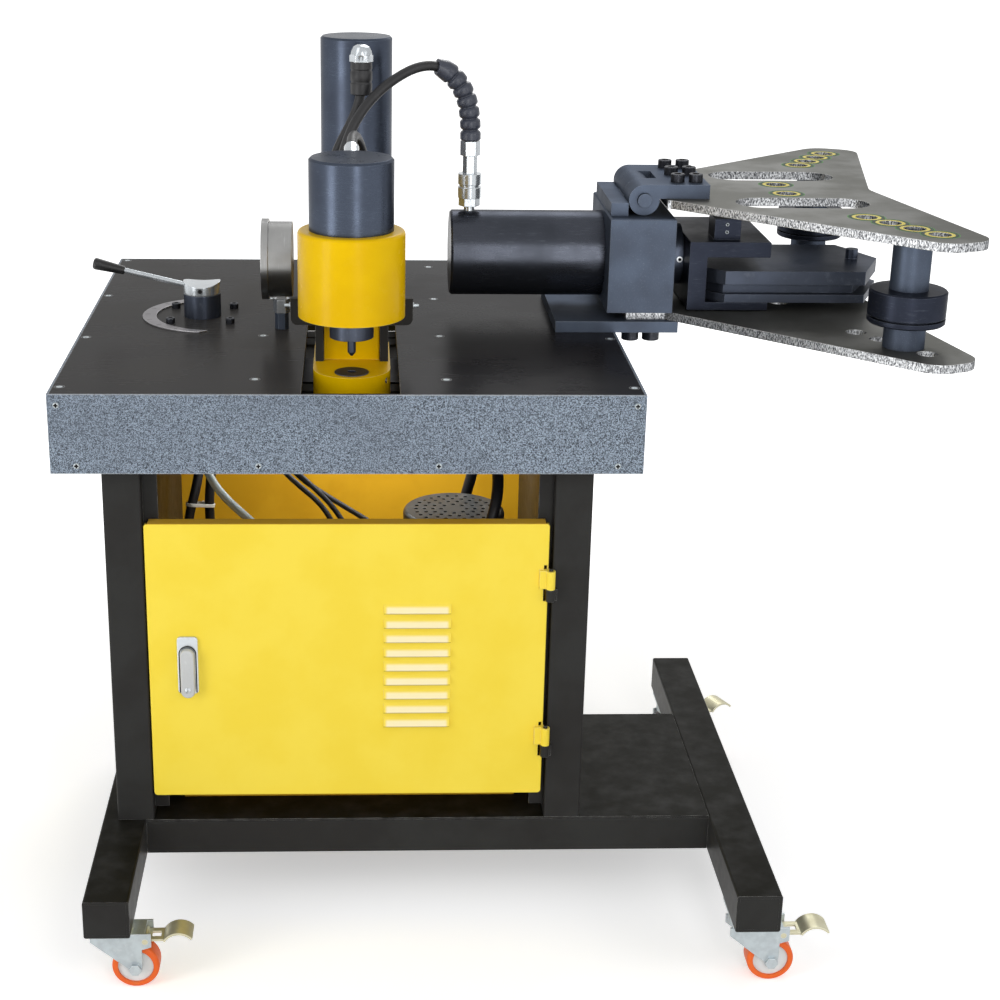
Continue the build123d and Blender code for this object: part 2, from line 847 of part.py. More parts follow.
# Motor with cooling fins, and its fan cowl with a drilled top
with BuildPart(layout) as pump_motor:
    flange_top = lid_top + motor_flange_t
    body_top = flange_top + motor_h
    post(motor_x, motor_y, lid_top, flange_top, motor_flange_r)
    post(motor_x, motor_y, flange_top, body_top, motor_r)
    with BuildSketch(plan(flange_top)):
        with Locations((motor_x, motor_y)):
            with PolarLocations(motor_r + fin_out / 2 - 1, fin_count):
                Rectangle(fin_out + 2, fin_t)
    extrude(amount=motor_h)
    terminal_x = motor_x - terminal_out
    terminal_low = flange_top + terminal_up
    block(
        (terminal_x, motor_x),
        (motor_y - terminal_w / 2, motor_y + terminal_w / 2),
        (terminal_low, terminal_low + terminal_h),
    )
    cowl_top = body_top + cowl_h
    with BuildSketch(plan(body_top + seat)):
        with Locations((motor_x, motor_y)):
            Circle(cowl_r)
    extrude(amount=cowl_h - seat)
    fillet(pump_motor.faces().sort_by(Axis.Z)[-1].edges(), radius=3 * cowl_wall)
    post(motor_x, motor_y, body_top, cowl_top - cowl_wall, cowl_r - cowl_wall, mode=Mode.SUBTRACT)
    with BuildSketch(plan(cowl_top - cowl_wall)):
        with Locations((motor_x, motor_y)):
            for ring_r, ring_count in zip(cowl_ring_radii, cowl_ring_counts):
                with PolarLocations(ring_r, ring_count):
                    Circle(cowl_hole_r)
    extrude(amount=cowl_wall, mode=Mode.SUBTRACT)
    post(motor_x, motor_y, body_top, body_top + cowl_h / 2, motor_stub_r)
finish(pump_motor, "pump_motor")

# Selector valve under the table, its post on top and the crescent plate beside it
with BuildPart(layout) as selector_valve:
    block(
        (valve_x - valve_w / 2, valve_x + valve_w / 2),
        (valve_y - valve_d / 2, valve_y + valve_d / 2),
        (plate_bottom - valve_h, plate_bottom),
    )
    post(valve_x, valve_y, table_top, table_top + post_h, post_r)
    for x, y in valve_screw_spots:
        post(x, y, table_top - valve_screw_len, plate_bottom, valve_screw_r + screw_gap, mode=Mode.SUBTRACT)
    shaft_low = plate_bottom - valve_h / 2
    post(valve_x, valve_y, shaft_low, table_top + post_h, lever_shaft_r + fit, mode=Mode.SUBTRACT)
    with BuildSketch(plan(table_top)):
        with BuildLine():
            outer = CenterArc((dial_x, valve_y), dial_out_r, dial_from, dial_to - dial_from)
            inner = CenterArc((dial_x + dial_shift, valve_y), dial_in_r, dial_from, dial_to - dial_from)
            Line(outer @ 0, inner @ 0)
            Line(outer @ 1, inner @ 1)
        make_face()
    extrude(amount=dial_t)
finish(selector_valve, "selector_valve")

# Selector lever: hub with its shaft and the slanted rod
hub_low = table_top + post_h + hub_gap
hub_top = hub_low + hub_h
rod_start = layout.from_local_coords((valve_x, valve_y, hub_top - lever_rod_z))
rod_way = Vector(-cos(radians(lever_rod_lift)), 0, sin(radians(lever_rod_lift)))
with BuildPart(layout) as selector_lever:
    post(valve_x, valve_y, hub_low, hub_top, post_r)
    saddle_r = (post_r**2 + hub_saddle_d**2) / (2 * hub_saddle_d)
    with Locations((valve_x, valve_y, hub_top + saddle_r - hub_saddle_d)):
        Cylinder(saddle_r, 3 * post_r, rotation=(90, 0, 0), mode=Mode.SUBTRACT)
    post(valve_x, valve_y, shaft_low, hub_low, lever_shaft_r)
    with BuildSketch(Plane(rod_start + rod_way * lever_rod_in, z_dir=rod_way)):
        Circle(lever_rod_r)
    extrude(amount=lever_rod_len - lever_rod_in)
finish(selector_lever, "selector_lever")

# Lever grip: a taper that widens outwards, bored for the rod
grip_start = rod_start + rod_way * (lever_rod_len - grip_sink)
with BuildPart() as lever_grip:
    with BuildSketch(Plane(grip_start, z_dir=rod_way)):
        Circle(grip_r_inner)
    with BuildSketch(Plane(grip_start + rod_way * grip_len, z_dir=rod_way)):
        Circle(grip_r_outer)
    loft()
    fillet(lever_grip.edges().sort_by(Axis.X)[0], radius=grip_r_outer / 2)
    with BuildSketch(Plane(grip_start, z_dir=rod_way)):
        Circle(lever_rod_r + fit)
    extrude(amount=grip_sink + seat, mode=Mode.SUBTRACT)
finish(lever_grip, "lever_grip")

# Pressure gauge: case, dial, bezel, nut and adapter, all loose pieces in one node
bezel_back = gauge_x - gauge_depth
adapter_top = table_top + gauge_adapter_h
nut_top = adapter_top + gauge_nut_h
gauge_stem_x = gauge_x - gauge_depth / 2
with BuildPart(layout) as gauge_case:
    with BuildSketch(side(bezel_back)):
        with Locations((gauge_y, gauge_z)):
            Circle(gauge_r)
    extrude(amount=gauge_depth)
    block(
        (gauge_stem_x - gauge_stub / 2, gauge_stem_x + gauge_stub / 2),
        (gauge_y - gauge_stub / 2, gauge_y + gauge_stub / 2),
        (nut_top + seat, gauge_z),
    )
    with BuildSketch(side(bezel_back)):
        with Locations((gauge_y, gauge_z)):
            Circle(gauge_r - gauge_wall)
    extrude(amount=gauge_depth - gauge_wall, mode=Mode.SUBTRACT)
    with BuildSketch(side(bezel_back + dial_plate_in)):
        with Locations((gauge_y, gauge_z)):
            Circle(gauge_r - gauge_wall - seat)
            Circle(needle_pin_r + screw_gap, mode=Mode.SUBTRACT)
    extrude(amount=dial_plate_t)
    with BuildSketch(side(bezel_back - bezel_depth)):
        with Locations((gauge_y, gauge_z)):
            Circle(bezel_out_r)
            Circle(bezel_in_r, mode=Mode.SUBTRACT)
    extrude(amount=bezel_depth - seat)
    with BuildSketch(side(bezel_back - lens_t - seat)):
        with Locations((gauge_y, gauge_z)):
            Circle(lens_r + seat)
    extrude(amount=lens_t, mode=Mode.SUBTRACT)
    hex_post(gauge_stem_x, gauge_y, table_top, adapter_top, gauge_adapter_af)
    hex_post(gauge_stem_x, gauge_y, adapter_top + seat, nut_top, gauge_nut_af)
finish(gauge_case, "gauge_case")

with BuildPart(layout) as gauge_lens:
    with BuildSketch(side(bezel_back - lens_t - seat)):
        with Locations((gauge_y, gauge_z)):
            Circle(lens_r)
    extrude(amount=lens_t)
finish(gauge_lens, "gauge_lens")

# Gauge needle: as seen from the left, where the plane's x runs to the front
needle_x = bezel_back + dial_plate_in - needle_gap
needle_face = Plane((table_x + needle_x, front_y + gauge_y, gauge_z), x_dir=(0, -1, 0), z_dir=(-1, 0, 0))
with BuildPart() as gauge_needle:
    with BuildSketch(needle_face):
        with Locations(Location((0, 0, 0), (0, 0, needle_rest))):
            Polygon(
                (-needle_tail, needle_w / 2),
                (-needle_tail, -needle_w / 2),
                (needle_len, -needle_w / 6),
                (needle_len, needle_w / 6),
                align=None,
            )
        Circle(needle_hub_r)
    extrude(amount=needle_t)
    with BuildSketch(needle_face.offset(-needle_gap - dial_plate_t - needle_gap)):
        Circle(needle_pin_r)
    extrude(amount=2 * needle_gap + dial_plate_t)
finish(gauge_needle, "gauge_needle")

# Punch frame: jaw, spine, arm and collar in one casting
unit_bottom = cross_rail_top
with BuildPart(layout) as punch_frame:
    with BuildSketch(plan(unit_bottom)):
        nose_y = jaw_front + jaw_w / 2
        with Locations((punch_x, nose_y)):
            Circle(jaw_w / 2)
        with Locations((punch_x, (nose_y + frame_back) / 2)):
            Rectangle(jaw_w, frame_back - nose_y)
    extrude(amount=table_top - unit_bottom)
    spine_x = (punch_x - spine_w / 2, punch_x + spine_w / 2)
    block(spine_x, (spine_front, frame_back), (unit_bottom, collar_top))
    block(spine_x, (punch_y, frame_back), (arm_bottom, collar_top))
    post(punch_x, punch_y, collar_bottom, collar_top, collar_r)
    rings = punch_frame.edges().filter_by(GeomType.CIRCLE)
    rims = rings.filter_by(lambda e: abs(e.radius - collar_r) < seat)
    fillet(rims.sort_by(Axis.Z)[-1], radius=collar_round)
    post(punch_x, punch_y, collar_bottom, collar_top, punch_rod_r + fit, mode=Mode.SUBTRACT)
    die_bottom = table_top + die_proud - die_t
    post(punch_x, punch_y, die_bottom, table_top, die_r + seat, mode=Mode.SUBTRACT)
    post(punch_x, punch_y, unit_bottom, die_bottom, slug_hole_r, mode=Mode.SUBTRACT)
    with BuildSketch(side(punch_x)):
        with Locations((punch_y, die_screw_z)):
            Circle(die_screw_r + seat)
    extrude(amount=jaw_w / 2, mode=Mode.SUBTRACT)
finish(punch_frame, "punch_frame")

# Punch yoke: the two cheeks either side of the spine, with ears beside the collar
with BuildPart(layout) as punch_yoke:
    block((yoke_in, yoke_out), (yoke_front, yoke_back), (table_top, yoke_shelf_high))
    with BuildSketch(front(yoke_front + yoke_ear_t)) as ear_face:
        Polygon(
            (yoke_in, yoke_shelf_low),
            (yoke_ear_out, yoke_shelf_low),
            (yoke_ear_out, yoke_ear_top),
            (yoke_ear_in, yoke_ear_top),
            (yoke_ear_in, yoke_shelf_high),
            (yoke_in, yoke_shelf_high),
            align=None,
        )
        ear_corner = ear_face.vertices().sort_by(Axis.Y).filter_by(lambda v: v.X > yoke_ear_in)[0]
        fillet(ear_corner, radius=yoke_round)
    extrude(amount=yoke_ear_t)
    mirror(about=side(0))
with BuildPart(Plane((punch_x, 0, 0))) as punch_yoke_placed:
    add(punch_yoke.part)
finish(punch_yoke_placed, "punch_yoke")

# Punch cylinder: a pot turned over on the collar
with BuildPart(layout) as punch_cylinder:
    post(punch_x, punch_y, collar_top, punch_cyl_top, punch_cyl_r)
    chamfer(punch_cylinder.edges().sort_by(Axis.Z)[-1], length=cyl_chamfer)
    punch_bore_top = punch_cyl_top - punch_cyl_cap
    post(punch_x, punch_y, collar_top, punch_bore_top, punch_piston_r + fit, mode=Mode.SUBTRACT)
finish(punch_cylinder, "punch_cylinder")

# Punch ram with its piston, and the punch pin under it
punch_piston_top = punch_bore_top - seat
punch_tip = punch_rod_bottom - punch_pin_len
with BuildPart(layout) as punch_ram:
    post(punch_x, punch_y, punch_rod_bottom, punch_piston_top, punch_rod_r)
    post(punch_x, punch_y, punch_piston_top - punch_piston_t, punch_piston_top, punch_piston_r)
    post(punch_x, punch_y, punch_tip + punch_pin_point, punch_rod_bottom - seat, punch_pin_r)
    with Locations((punch_x, punch_y, punch_tip + punch_pin_point / 2)):
        Cone(punch_pin_r / 3, punch_pin_r, punch_pin_point)
finish(punch_ram, "punch_ram")

# Die in the jaw, and the screw that holds it
with BuildPart(layout) as punch_die:
    post(punch_x, punch_y, die_bottom, table_top + die_proud, die_r)
    post(punch_x, punch_y, die_bottom, table_top + die_proud, die_hole_r, mode=Mode.SUBTRACT)
    screw_end = punch_x + sqrt((jaw_w / 2) ** 2 - (nose_y - punch_y) ** 2)
    with BuildSketch(side(punch_x + die_r + seat)):
        with Locations((punch_y, die_screw_z)):
            Circle(die_screw_r)
    extrude(amount=screw_end - punch_x - die_r - seat)
finish(punch_die, "punch_die")

# Cutter frame: a C that opens to the front, with a step beside the loose lower blade
with BuildPart(layout) as cutter_frame:
    with BuildSketch(side(cutter_x - cutter_frame_w / 2)):
        Polygon(
            (cutter_front, unit_bottom),
            (cutter_back, unit_bottom),
            (cutter_back, cutter_head_top),
            (cutter_front, cutter_head_top),
            (cutter_front, cutter_head_bottom),
            (cutter_spine_front, cutter_head_bottom),
            (cutter_spine_front, cutter_jaw_top),
            (cutter_front, cutter_jaw_top),
            align=None,
        )
    extrude(amount=cutter_frame_w)
    block(
        (cutter_x - blade_gap, cutter_x + cutter_frame_w / 2),
        (cutter_front, cutter_spine_front),
        (cutter_jaw_top - cutter_relief, cutter_jaw_top),
        mode=Mode.SUBTRACT,
    )
    post(
        cutter_x, cutter_y, cutter_head_bottom, cutter_head_top, cutter_rod_r + fit, mode=Mode.SUBTRACT
    )
    block(
        (cutter_x - blade_gap - lower_blade_t, cutter_x - blade_gap),
        (cutter_y - blade_len / 2, cutter_y + blade_len / 2),
        (cutter_jaw_top + seat, lower_blade_top),
    )
finish(cutter_frame, "cutter_frame")

with BuildPart(layout) as cutter_cylinder:
    post(cutter_x, cutter_y, cutter_head_top, cutter_cyl_top, cutter_cyl_r)
    chamfer(cutter_cylinder.edges().sort_by(Axis.Z)[-1], length=cyl_chamfer)
    cutter_bore_top = cutter_cyl_top - cutter_cyl_cap
    post(cutter_x, cutter_y, cutter_head_top, cutter_bore_top, cutter_piston_r + fit, mode=Mode.SUBTRACT)
finish(cutter_cylinder, "cutter_cylinder")

# Cutter ram with its piston, and the raked upper blade under it
cutter_piston_top = cutter_bore_top - seat
blade_top = blade_bottom + blade_h
with BuildPart(layout) as cutter_ram:
    post(cutter_x, cutter_y, blade_top, cutter_piston_top, cutter_rod_r)
    post(cutter_x, cutter_y, cutter_piston_top - cutter_piston_t, cutter_piston_top, cutter_piston_r)
    with BuildSketch(side(cutter_x)):
        Polygon(
            (cutter_y - blade_len / 2, blade_bottom),
            (cutter_y + blade_len / 2, blade_bottom + blade_rake),
            (cutter_y + blade_len / 2, blade_top - seat),
            (cutter_y - blade_len / 2, blade_top - seat),
            align=None,
        )
    extrude(amount=blade_t)
finish(cutter_ram, "cutter_ram")

# Bender base plate, and the places of its bolts
bend_bolt_spots = [
    (bend_bolt_first + step * bend_bolt_pitch, bend_y + sign * bend_bolt_half)
    for step in range(2)
    for sign in (-1, 1)
]
with BuildPart(layout) as bender_base:
    block(
        (bend_base_left, bend_base_right),
        (bend_y - bend_base_half, bend_y + bend_base_half),
        (table_top, wing_low_bottom),
    )
    with Locations(*[(x, y, wing_low_bottom) for x, y in bend_bolt_spots]):
        Hole(bend_bolt_r + screw_gap, depth=bend_base_t)
finish(bender_base, "bender_base")

# Black cap screws: four on the valve and four under the bender's base
with BuildPart(layout) as cap_screws:
    for x, y in valve_screw_spots:
        post(x, y, table_top, table_top + valve_screw_head_h, valve_screw_head_r)
        post(x, y, table_top - valve_screw_len, table_top, valve_screw_r)
    for x, y in bend_bolt_spots:
        post(x, y, table_top - bend_bolt_head_h, table_top, bend_bolt_head_r)
        post(x, y, table_top, wing_low_top + bend_bolt_deep, bend_bolt_r)
finish(cap_screws, "cap_screws")

# Head block of the bender, bored for the ram
with BuildPart(layout) as bender_block:
    block(
        (bend_block_left, bend_block_right),
        (bend_y - bend_block_half, bend_y + bend_block_half),
        (wing_low_top, bend_block_top),
    )
    chamfer(bender_block.faces().sort_by(Axis.Z)[-1].edges(), length=bend_block_edge)
    with BuildSketch(side(bend_block_left)):
        with Locations((bend_y, bend_z)):
            Circle(bend_rod_r + fit)
    extrude(amount=bend_block_right - bend_block_left, mode=Mode.SUBTRACT)
    for x, y in bend_bolt_spots:
        post(x, y, wing_low_top, wing_low_top + bend_bolt_deep, bend_bolt_r + screw_gap, mode=Mode.SUBTRACT)
finish(bender_block, "bender_block")

with BuildPart(layout) as bender_cylinder:
    with BuildSketch(side(bend_cyl_left)):
        with Locations((bend_y, bend_z)):
            Circle(bend_cyl_r)
    extrude(amount=bend_block_left - bend_cyl_left)
    chamfer(bender_cylinder.edges().sort_by(Axis.X)[0], length=cyl_chamfer)
    with BuildSketch(side(bend_cyl_left + bend_cyl_cap)):
        with Locations((bend_y, bend_z)):
            Circle(bend_piston_r + fit)
    extrude(amount=bend_block_left - bend_cyl_left - bend_cyl_cap, mode=Mode.SUBTRACT)
finish(bender_cylinder, "bender_cylinder")

with BuildPart(layout) as bender_ram:
    with BuildSketch(side(bend_piston_left)):
        with Locations((bend_y, bend_z)):
            Circle(bend_piston_r)
    extrude(amount=bend_piston_t)
    with BuildSketch(side(bend_piston_left)):
        with Locations((bend_y, bend_z)):
            Circle(bend_rod_r)
    extrude(amount=holder_left - bend_piston_left)
finish(bender_ram, "bender_ram")

# Tool holder: a C that carries the bending punch, with a small block on top
tool_bottom = holder_bottom + holder_lip
with BuildPart(layout) as bender_holder:
    with BuildSketch(front(bend_y + holder_half)):
        Polygon(
            (holder_left, holder_bottom),
            (holder_right, holder_bottom),
            (holder_right, tool_bottom),
            (holder_mouth_left, tool_bottom),
            (holder_mouth_left, holder_mouth_top),
            (holder_right, holder_mouth_top),
            (holder_right, holder_top),
            (holder_left, holder_top),
            align=None,
        )
    extrude(amount=2 * holder_half)
    chamfer(bender_holder.edges().filter_by(Axis.Y), length=holder_edge)
    block(
        (post_left, post_left + post_w),
        (post_front, post_front + post_d),
        (holder_top, holder_top + holder_post_h),
    )
finish(bender_holder, "bender_holder")

# Bending punch: two nosed plates with a groove between them, and the tie bolt on top
groove_low = tool_bottom + low_plate_t
groove_high = groove_low + bend_groove
tool_top = groove_high + top_plate_t


def tool_outline(inset):
    """Plan of the bending punch, drawn in all round by inset."""
    half = holder_half - inset
    nose_start = bend_tip_x - bend_nose
    Polygon(
        (bend_tool_left, bend_y - half + bend_tool_cut),
        (bend_tool_left + bend_tool_cut, bend_y - half),
        (nose_start - inset, bend_y - half),
        (bend_tip_x - inset, bend_y),
        (nose_start - inset, bend_y + half),
        (bend_tool_left + bend_tool_cut, bend_y + half),
        (bend_tool_left, bend_y + half - bend_tool_cut),
        align=None,
    )


with BuildPart(layout) as bender_punch:
    with BuildSketch(plan(tool_bottom)):
        tool_outline(0)
    extrude(amount=low_plate_t)
    with BuildSketch(plan(groove_low)):
        tool_outline(groove_deep)
    extrude(amount=bend_groove)
    with BuildSketch(plan(groove_high)):
        tool_outline(0)
    extrude(amount=top_plate_t)
    post(bend_tip_x - tie_bolt_back, bend_y, tool_top, tool_top + tie_bolt_h, tie_bolt_r)
finish(bender_punch, "bender_punch")

# Wing plates: one outline, a shorter root on the upper plate, slots in the upper plate alone
hole_spots = [
    (pin_hole_x + step * pin_hole_step_x, sign * (pin_hole_half + step * pin_hole_step_y))
    for step in range(pin_hole_count)
    for sign in (-1, 1)
]
hole_spots += [(mid_hole_x, sign * mid_hole_half) for sign in (-1, 1)]


def wing_outline(root_left, z):
    """Sketch of a wing plate at height z."""
    upper = [
        (root_left, wing_root),
        (wing_flare_x, wing_root),
        (wing_tip_x, wing_tip_half),
        (wing_nose_x, wing_nose_half),
    ]
    lower = [(x, -y) for x, y in reversed(upper)]
    points = [(x, bend_y + y) for x, y in upper + [(wing_notch_x, 0)] + lower]
    with BuildSketch(plan(z)) as wing:
        Polygon(*points, align=None)
        for corner_x, corner_round in (
            (wing_tip_x, wing_tip_round),
            (wing_nose_x, wing_nose_round),
            (wing_notch_x, wing_notch_round),
        ):
            fillet(wing.vertices().filter_by(lambda v: abs(v.X - corner_x) < seat), radius=corner_round)
        with Locations(*[(x, bend_y + y) for x, y in hole_spots]):
            Circle(pin_hole_r, mode=Mode.SUBTRACT)
    return wing.sketch


with BuildPart(layout) as wing_lower:
    extrude(wing_outline(wing_left_low, wing_low_bottom), amount=wing_t)
    with Locations(*[(x, y, wing_low_top) for x, y in bend_bolt_spots]):
        Hole(bend_bolt_r + screw_gap, depth=wing_t)
finish(wing_lower, "wing_lower")

leaf_bolt_spots = [
    (leaf_bolt_first + step * leaf_bolt_pitch, bend_y + row * leaf_bolt_spread)
    for step in range(2)
    for row in (-1, 0, 1)
]
with BuildPart(layout) as wing_upper:
    extrude(wing_outline(wing_left_high, wing_bottom), amount=wing_t)
    with BuildSketch(plan(wing_bottom)):
        with Locations(*[(wing_slot_x, bend_y + sign * wing_slot_half) for sign in (-1, 1)]):
            SlotOverall(wing_slot_len, wing_slot_w)
    extrude(amount=wing_t, mode=Mode.SUBTRACT)
    with Locations(*[(x, y, wing_top) for x, y in leaf_bolt_spots]):
        Hole(leaf_bolt_r + screw_gap, depth=wing_t)
finish(wing_upper, "wing_upper")


def eye(y_low, y_high, radius, mode=Mode.ADD):
    """Cylinder along the wing's hinge axis."""
    with BuildSketch(front(bend_y + y_high)) as ring:
        with Locations((hinge_x, hinge_z)):
            Circle(radius)
    extrude(ring.sketch, amount=y_high - y_low, mode=mode)


# Hinge base on the head block, with its middle knuckle and the loose pin
with BuildPart(layout) as hinge_base:
    block(
        (bend_block_left + bend_block_edge, hinge_base_right),
        (bend_y - leaf_half, bend_y + leaf_half),
        (bend_block_top, bend_block_top + hinge_base_h),
    )
    block(
        (hinge_base_right - eye_r, hinge_x),
        (bend_y - knuckle_half, bend_y + knuckle_half),
        (hinge_z - eye_r, bend_block_top + hinge_base_h),
    )
    eye(-knuckle_half, knuckle_half, eye_r)
    eye(-knuckle_half, knuckle_half, wing_pin_r + fit, mode=Mode.SUBTRACT)
    eye(-leaf_half - leaf_bolt_r, leaf_half + leaf_bolt_r, wing_pin_r)
finish(hinge_base, "hinge_base")

# Hinge leaf with two knuckles, bolted to the upper wing
leaf_top = wing_top + leaf_t
with BuildPart(layout) as hinge_leaf:
    block((hinge_x, leaf_right), (bend_y - leaf_half, bend_y + leaf_half), (wing_top, leaf_top))
    eye(-leaf_half, leaf_half, eye_r)
    block(
        (hinge_x - eye_r, hinge_x + eye_r + 2 * knuckle_gap),
        (bend_y - knuckle_half - knuckle_gap, bend_y + knuckle_half + knuckle_gap),
        (hinge_z - eye_r, leaf_top),
        mode=Mode.SUBTRACT,
    )
    eye(-leaf_half, leaf_half, wing_pin_r + fit, mode=Mode.SUBTRACT)
    with Locations(*[(x, y, leaf_top) for x, y in leaf_bolt_spots]):
        Hole(leaf_bolt_r + screw_gap, depth=leaf_t)
finish(hinge_leaf, "hinge_leaf")

with BuildPart(layout) as wing_bolts:
    for x, y in leaf_bolt_spots:
        post(x, y, leaf_top, leaf_top + leaf_bolt_head_h, leaf_bolt_head_r)
        post(x, y, wing_bottom, leaf_top, leaf_bolt_r)
finish(wing_bolts, "wing_bolts")

# Bending pins: a thick foot under the roller, and a spigot at each end for the wing holes
roller_top = roller_bottom + roller_h
pin_body_top = wing_bottom - pin_top_gap
with BuildPart(layout) as bend_pins:
    for sign in (-1, 1):
        pin_y = bend_y + sign * pin_half
        post(pin_x, pin_y, wing_low_bottom, wing_low_top, pin_hole_r - spigot_low_gap)
        post(pin_x, pin_y, wing_low_top, roller_bottom, pin_low_r)
        post(pin_x, pin_y, roller_bottom, pin_body_top, pin_r)
        post(pin_x, pin_y, pin_body_top, pin_body_top + spigot_high_len, pin_hole_r - spigot_high_gap)
finish(bend_pins, "bend_pins")

for sign, label in ((-1, "roller_front"), (1, "roller_rear")):
    pin_y = bend_y + sign * pin_half
    with BuildPart(layout) as roller:
        post(pin_x, pin_y, roller_bottom + roller_gap, roller_top, roller_r)
        chamfer(roller.edges().filter_by(GeomType.CIRCLE), length=roller_edge)
        groove_z = roller_bottom + roller_groove_z
        with BuildSketch(plan(groove_z)):
            with Locations((pin_x, pin_y)):
                Circle(roller_r)
                Circle(roller_r - roller_groove_d, mode=Mode.SUBTRACT)
        extrude(amount=roller_groove_w, mode=Mode.SUBTRACT)
        post(pin_x, pin_y, roller_bottom, roller_top, pin_r + fit, mode=Mode.SUBTRACT)
    finish(roller, label)

# Manifold under the slot with a union for each hose, and the pipes from the valve
union_bottom = cross_rail_top
union_top = union_bottom + union_h
union_spots = ((-38.0, 370.0), (-14.0, 336.0), (28.0, 302.0))
cutter_union, bender_union, punch_union = union_spots
pipe_z = cross_rail_top - pipe_drop
with BuildPart(layout) as hose_manifold:
    block(
        (manifold_left, manifold_right),
        (manifold_front, manifold_back),
        (cross_rail_top - manifold_h, cross_rail_top),
    )
    for x, y in union_spots:
        hex_post(x, y, union_bottom + seat, union_top, union_af)
    for step in range(3):
        with BuildSketch(side(valve_x + valve_w / 2)):
            with Locations((pipe_first_y + step * pipe_pitch, pipe_z)):
                Circle(pipe_r)
        extrude(amount=manifold_left - seat - valve_x - valve_w / 2)
finish(hose_manifold, "hose_manifold")

# Fittings on the cylinders: the bender's quick coupler, the cutter's elbow, the punch's elbow
hex_low = bend_cyl_top + coupler_stub_h
coupler_low = hex_low + coupler_hex_h
coupler_top = coupler_low + coupler_h
stem_top = coupler_top + coupler_stem_h
nut_end = stem_top + coupler_nut_h
elbow_y = cutter_y - cutter_cyl_r - elbow_out
elbow_z = cutter_cyl_top - elbow_drop
sleeve_low = elbow_z - sleeve_len
punch_port_z = punch_cyl_top - punch_port_drop
punch_port = layout.from_local_coords(Vector(punch_x, punch_y + punch_cyl_r, punch_port_z))
punch_way = Vector(0, cos(radians(punch_port_tilt)), sin(radians(punch_port_tilt)))
stub_sink = bend_cyl_r - sqrt(bend_cyl_r**2 - coupler_stub_r**2)
with BuildPart(layout) as hose_fittings:
    post(coupler_x, bend_y, bend_cyl_top - stub_sink, hex_low, coupler_stub_r)
    with BuildSketch(side(coupler_x - coupler_stub_r)):
        with Locations((bend_y, bend_z)):
            Circle(bend_cyl_r)
    extrude(amount=2 * coupler_stub_r, mode=Mode.SUBTRACT)
    hex_post(coupler_x, bend_y, hex_low, coupler_low, coupler_hex_af)
    post(coupler_x, bend_y, coupler_low, coupler_top, coupler_r)
    groove_mid = (coupler_low + coupler_top) / 2
    with BuildSketch(plan(groove_mid - coupler_groove / 2)):
        with Locations((coupler_x, bend_y)):
            Circle(coupler_r)
            Circle(coupler_r - coupler_groove_d, mode=Mode.SUBTRACT)
    extrude(amount=coupler_groove, mode=Mode.SUBTRACT)
    hex_post(coupler_x, bend_y, coupler_top, stem_top, coupler_stem_af)
    hex_post(coupler_x, bend_y, stem_top, nut_end, coupler_nut_af)
    with BuildSketch(front(cutter_y - cutter_cyl_r / 2)):
        with Locations((elbow_x, elbow_z)):
            Circle(elbow_r)
    extrude(amount=cutter_cyl_r / 2 + elbow_out)
    with Locations((elbow_x, elbow_y, elbow_z)):
        Sphere(elbow_r)
    post(elbow_x, elbow_y, sleeve_low, elbow_z, sleeve_r)
    with BuildSketch(Plane(punch_port - punch_way * punch_port_r, z_dir=punch_way)):
        Circle(punch_port_r)
    extrude(amount=punch_port_len + punch_port_r)
    for centre_x, centre_y, keep_r in (
        (cutter_x, cutter_y, cutter_cyl_r),
        (punch_x, punch_y, punch_cyl_r),
    ):
        post(centre_x, centre_y, collar_top, cutter_cyl_top, keep_r, mode=Mode.SUBTRACT)
finish(hose_fittings, "hose_fittings")


def bend_radii(points):
    """Largest arc that the two runs at each corner of a hose allow."""
    radii = []
    for before, corner, after in zip(points, points[1:], points[2:]):
        run_in = corner - before
        run_out = after - corner
        half_turn = radians(run_in.get_angle(run_out)) / 2
        radii.append(0.45 * min(run_in.length, run_out.length) / tan(half_turn))
    return radii


def hose(route, width, label):
    """Round hose along hand-chosen points, with an arc at each corner."""
    points = [layout.from_local_coords(Vector(*spot)) for spot in route]
    radii = bend_radii(points)
    with BuildPart() as tube:
        with BuildLine():
            path = FilletPolyline(*points, radius=radii)
        with BuildSketch(Plane(path @ 0, z_dir=path % 0)):
            Circle(width / 2)
        sweep()
    length = path.length
    print(label, "radii", [round(r) for r in radii], "length", round(length))
    print(label, "volume ratio", round(tube.part.volume / (pi * width**2 / 4 * length), 4))
    return tube, path


def above_table(*spots):
    """Route whose heights are measured from the table's top."""
    return [(x, y, table_top + up) for x, y, up in spots]


# Hose routes from the manifold to the units
bender_route = above_table(
    (*bender_union, union_top - table_top),
    (*bender_union, 21.0),
    (-19.0, 333.0, 89.0),
    (-22.0, 332.0, 153.0),
    (-18.0, 336.0, 211.0),
    (-8.0, 344.0, 256.0),
    (8.0, 358.0, 293.0),
    (30.0, 376.0, 321.0),
    (coupler_x - 114.0, 394.0, 345.0),
    (coupler_x - 77.0, 412.0, 363.0),
    (coupler_x - 43.0, 424.0, 362.0),
    (coupler_x - 14.0, bend_y, 336.0),
    (coupler_x, bend_y, 296.0),
    (coupler_x, bend_y, nut_end - table_top),
)
cutter_route = above_table(
    (*cutter_union, union_top - table_top),
    (*cutter_union, 21.0),
    (-42.0, 369.0, 81.0),
    (-42.0, 371.0, 126.0),
    (-39.0, 374.0, 169.0),
    (-31.0, 379.0, 211.0),
    (-16.0, 388.0, 253.0),
    (4.0, 398.0, 287.0),
    (elbow_x, elbow_y, 321.0),
    (elbow_x, elbow_y, sleeve_low - table_top),
)
punch_end = layout.to_local_coords(punch_port + punch_way * punch_port_len)
punch_run = layout.to_local_coords(punch_port + punch_way * 2.5 * punch_port_len)
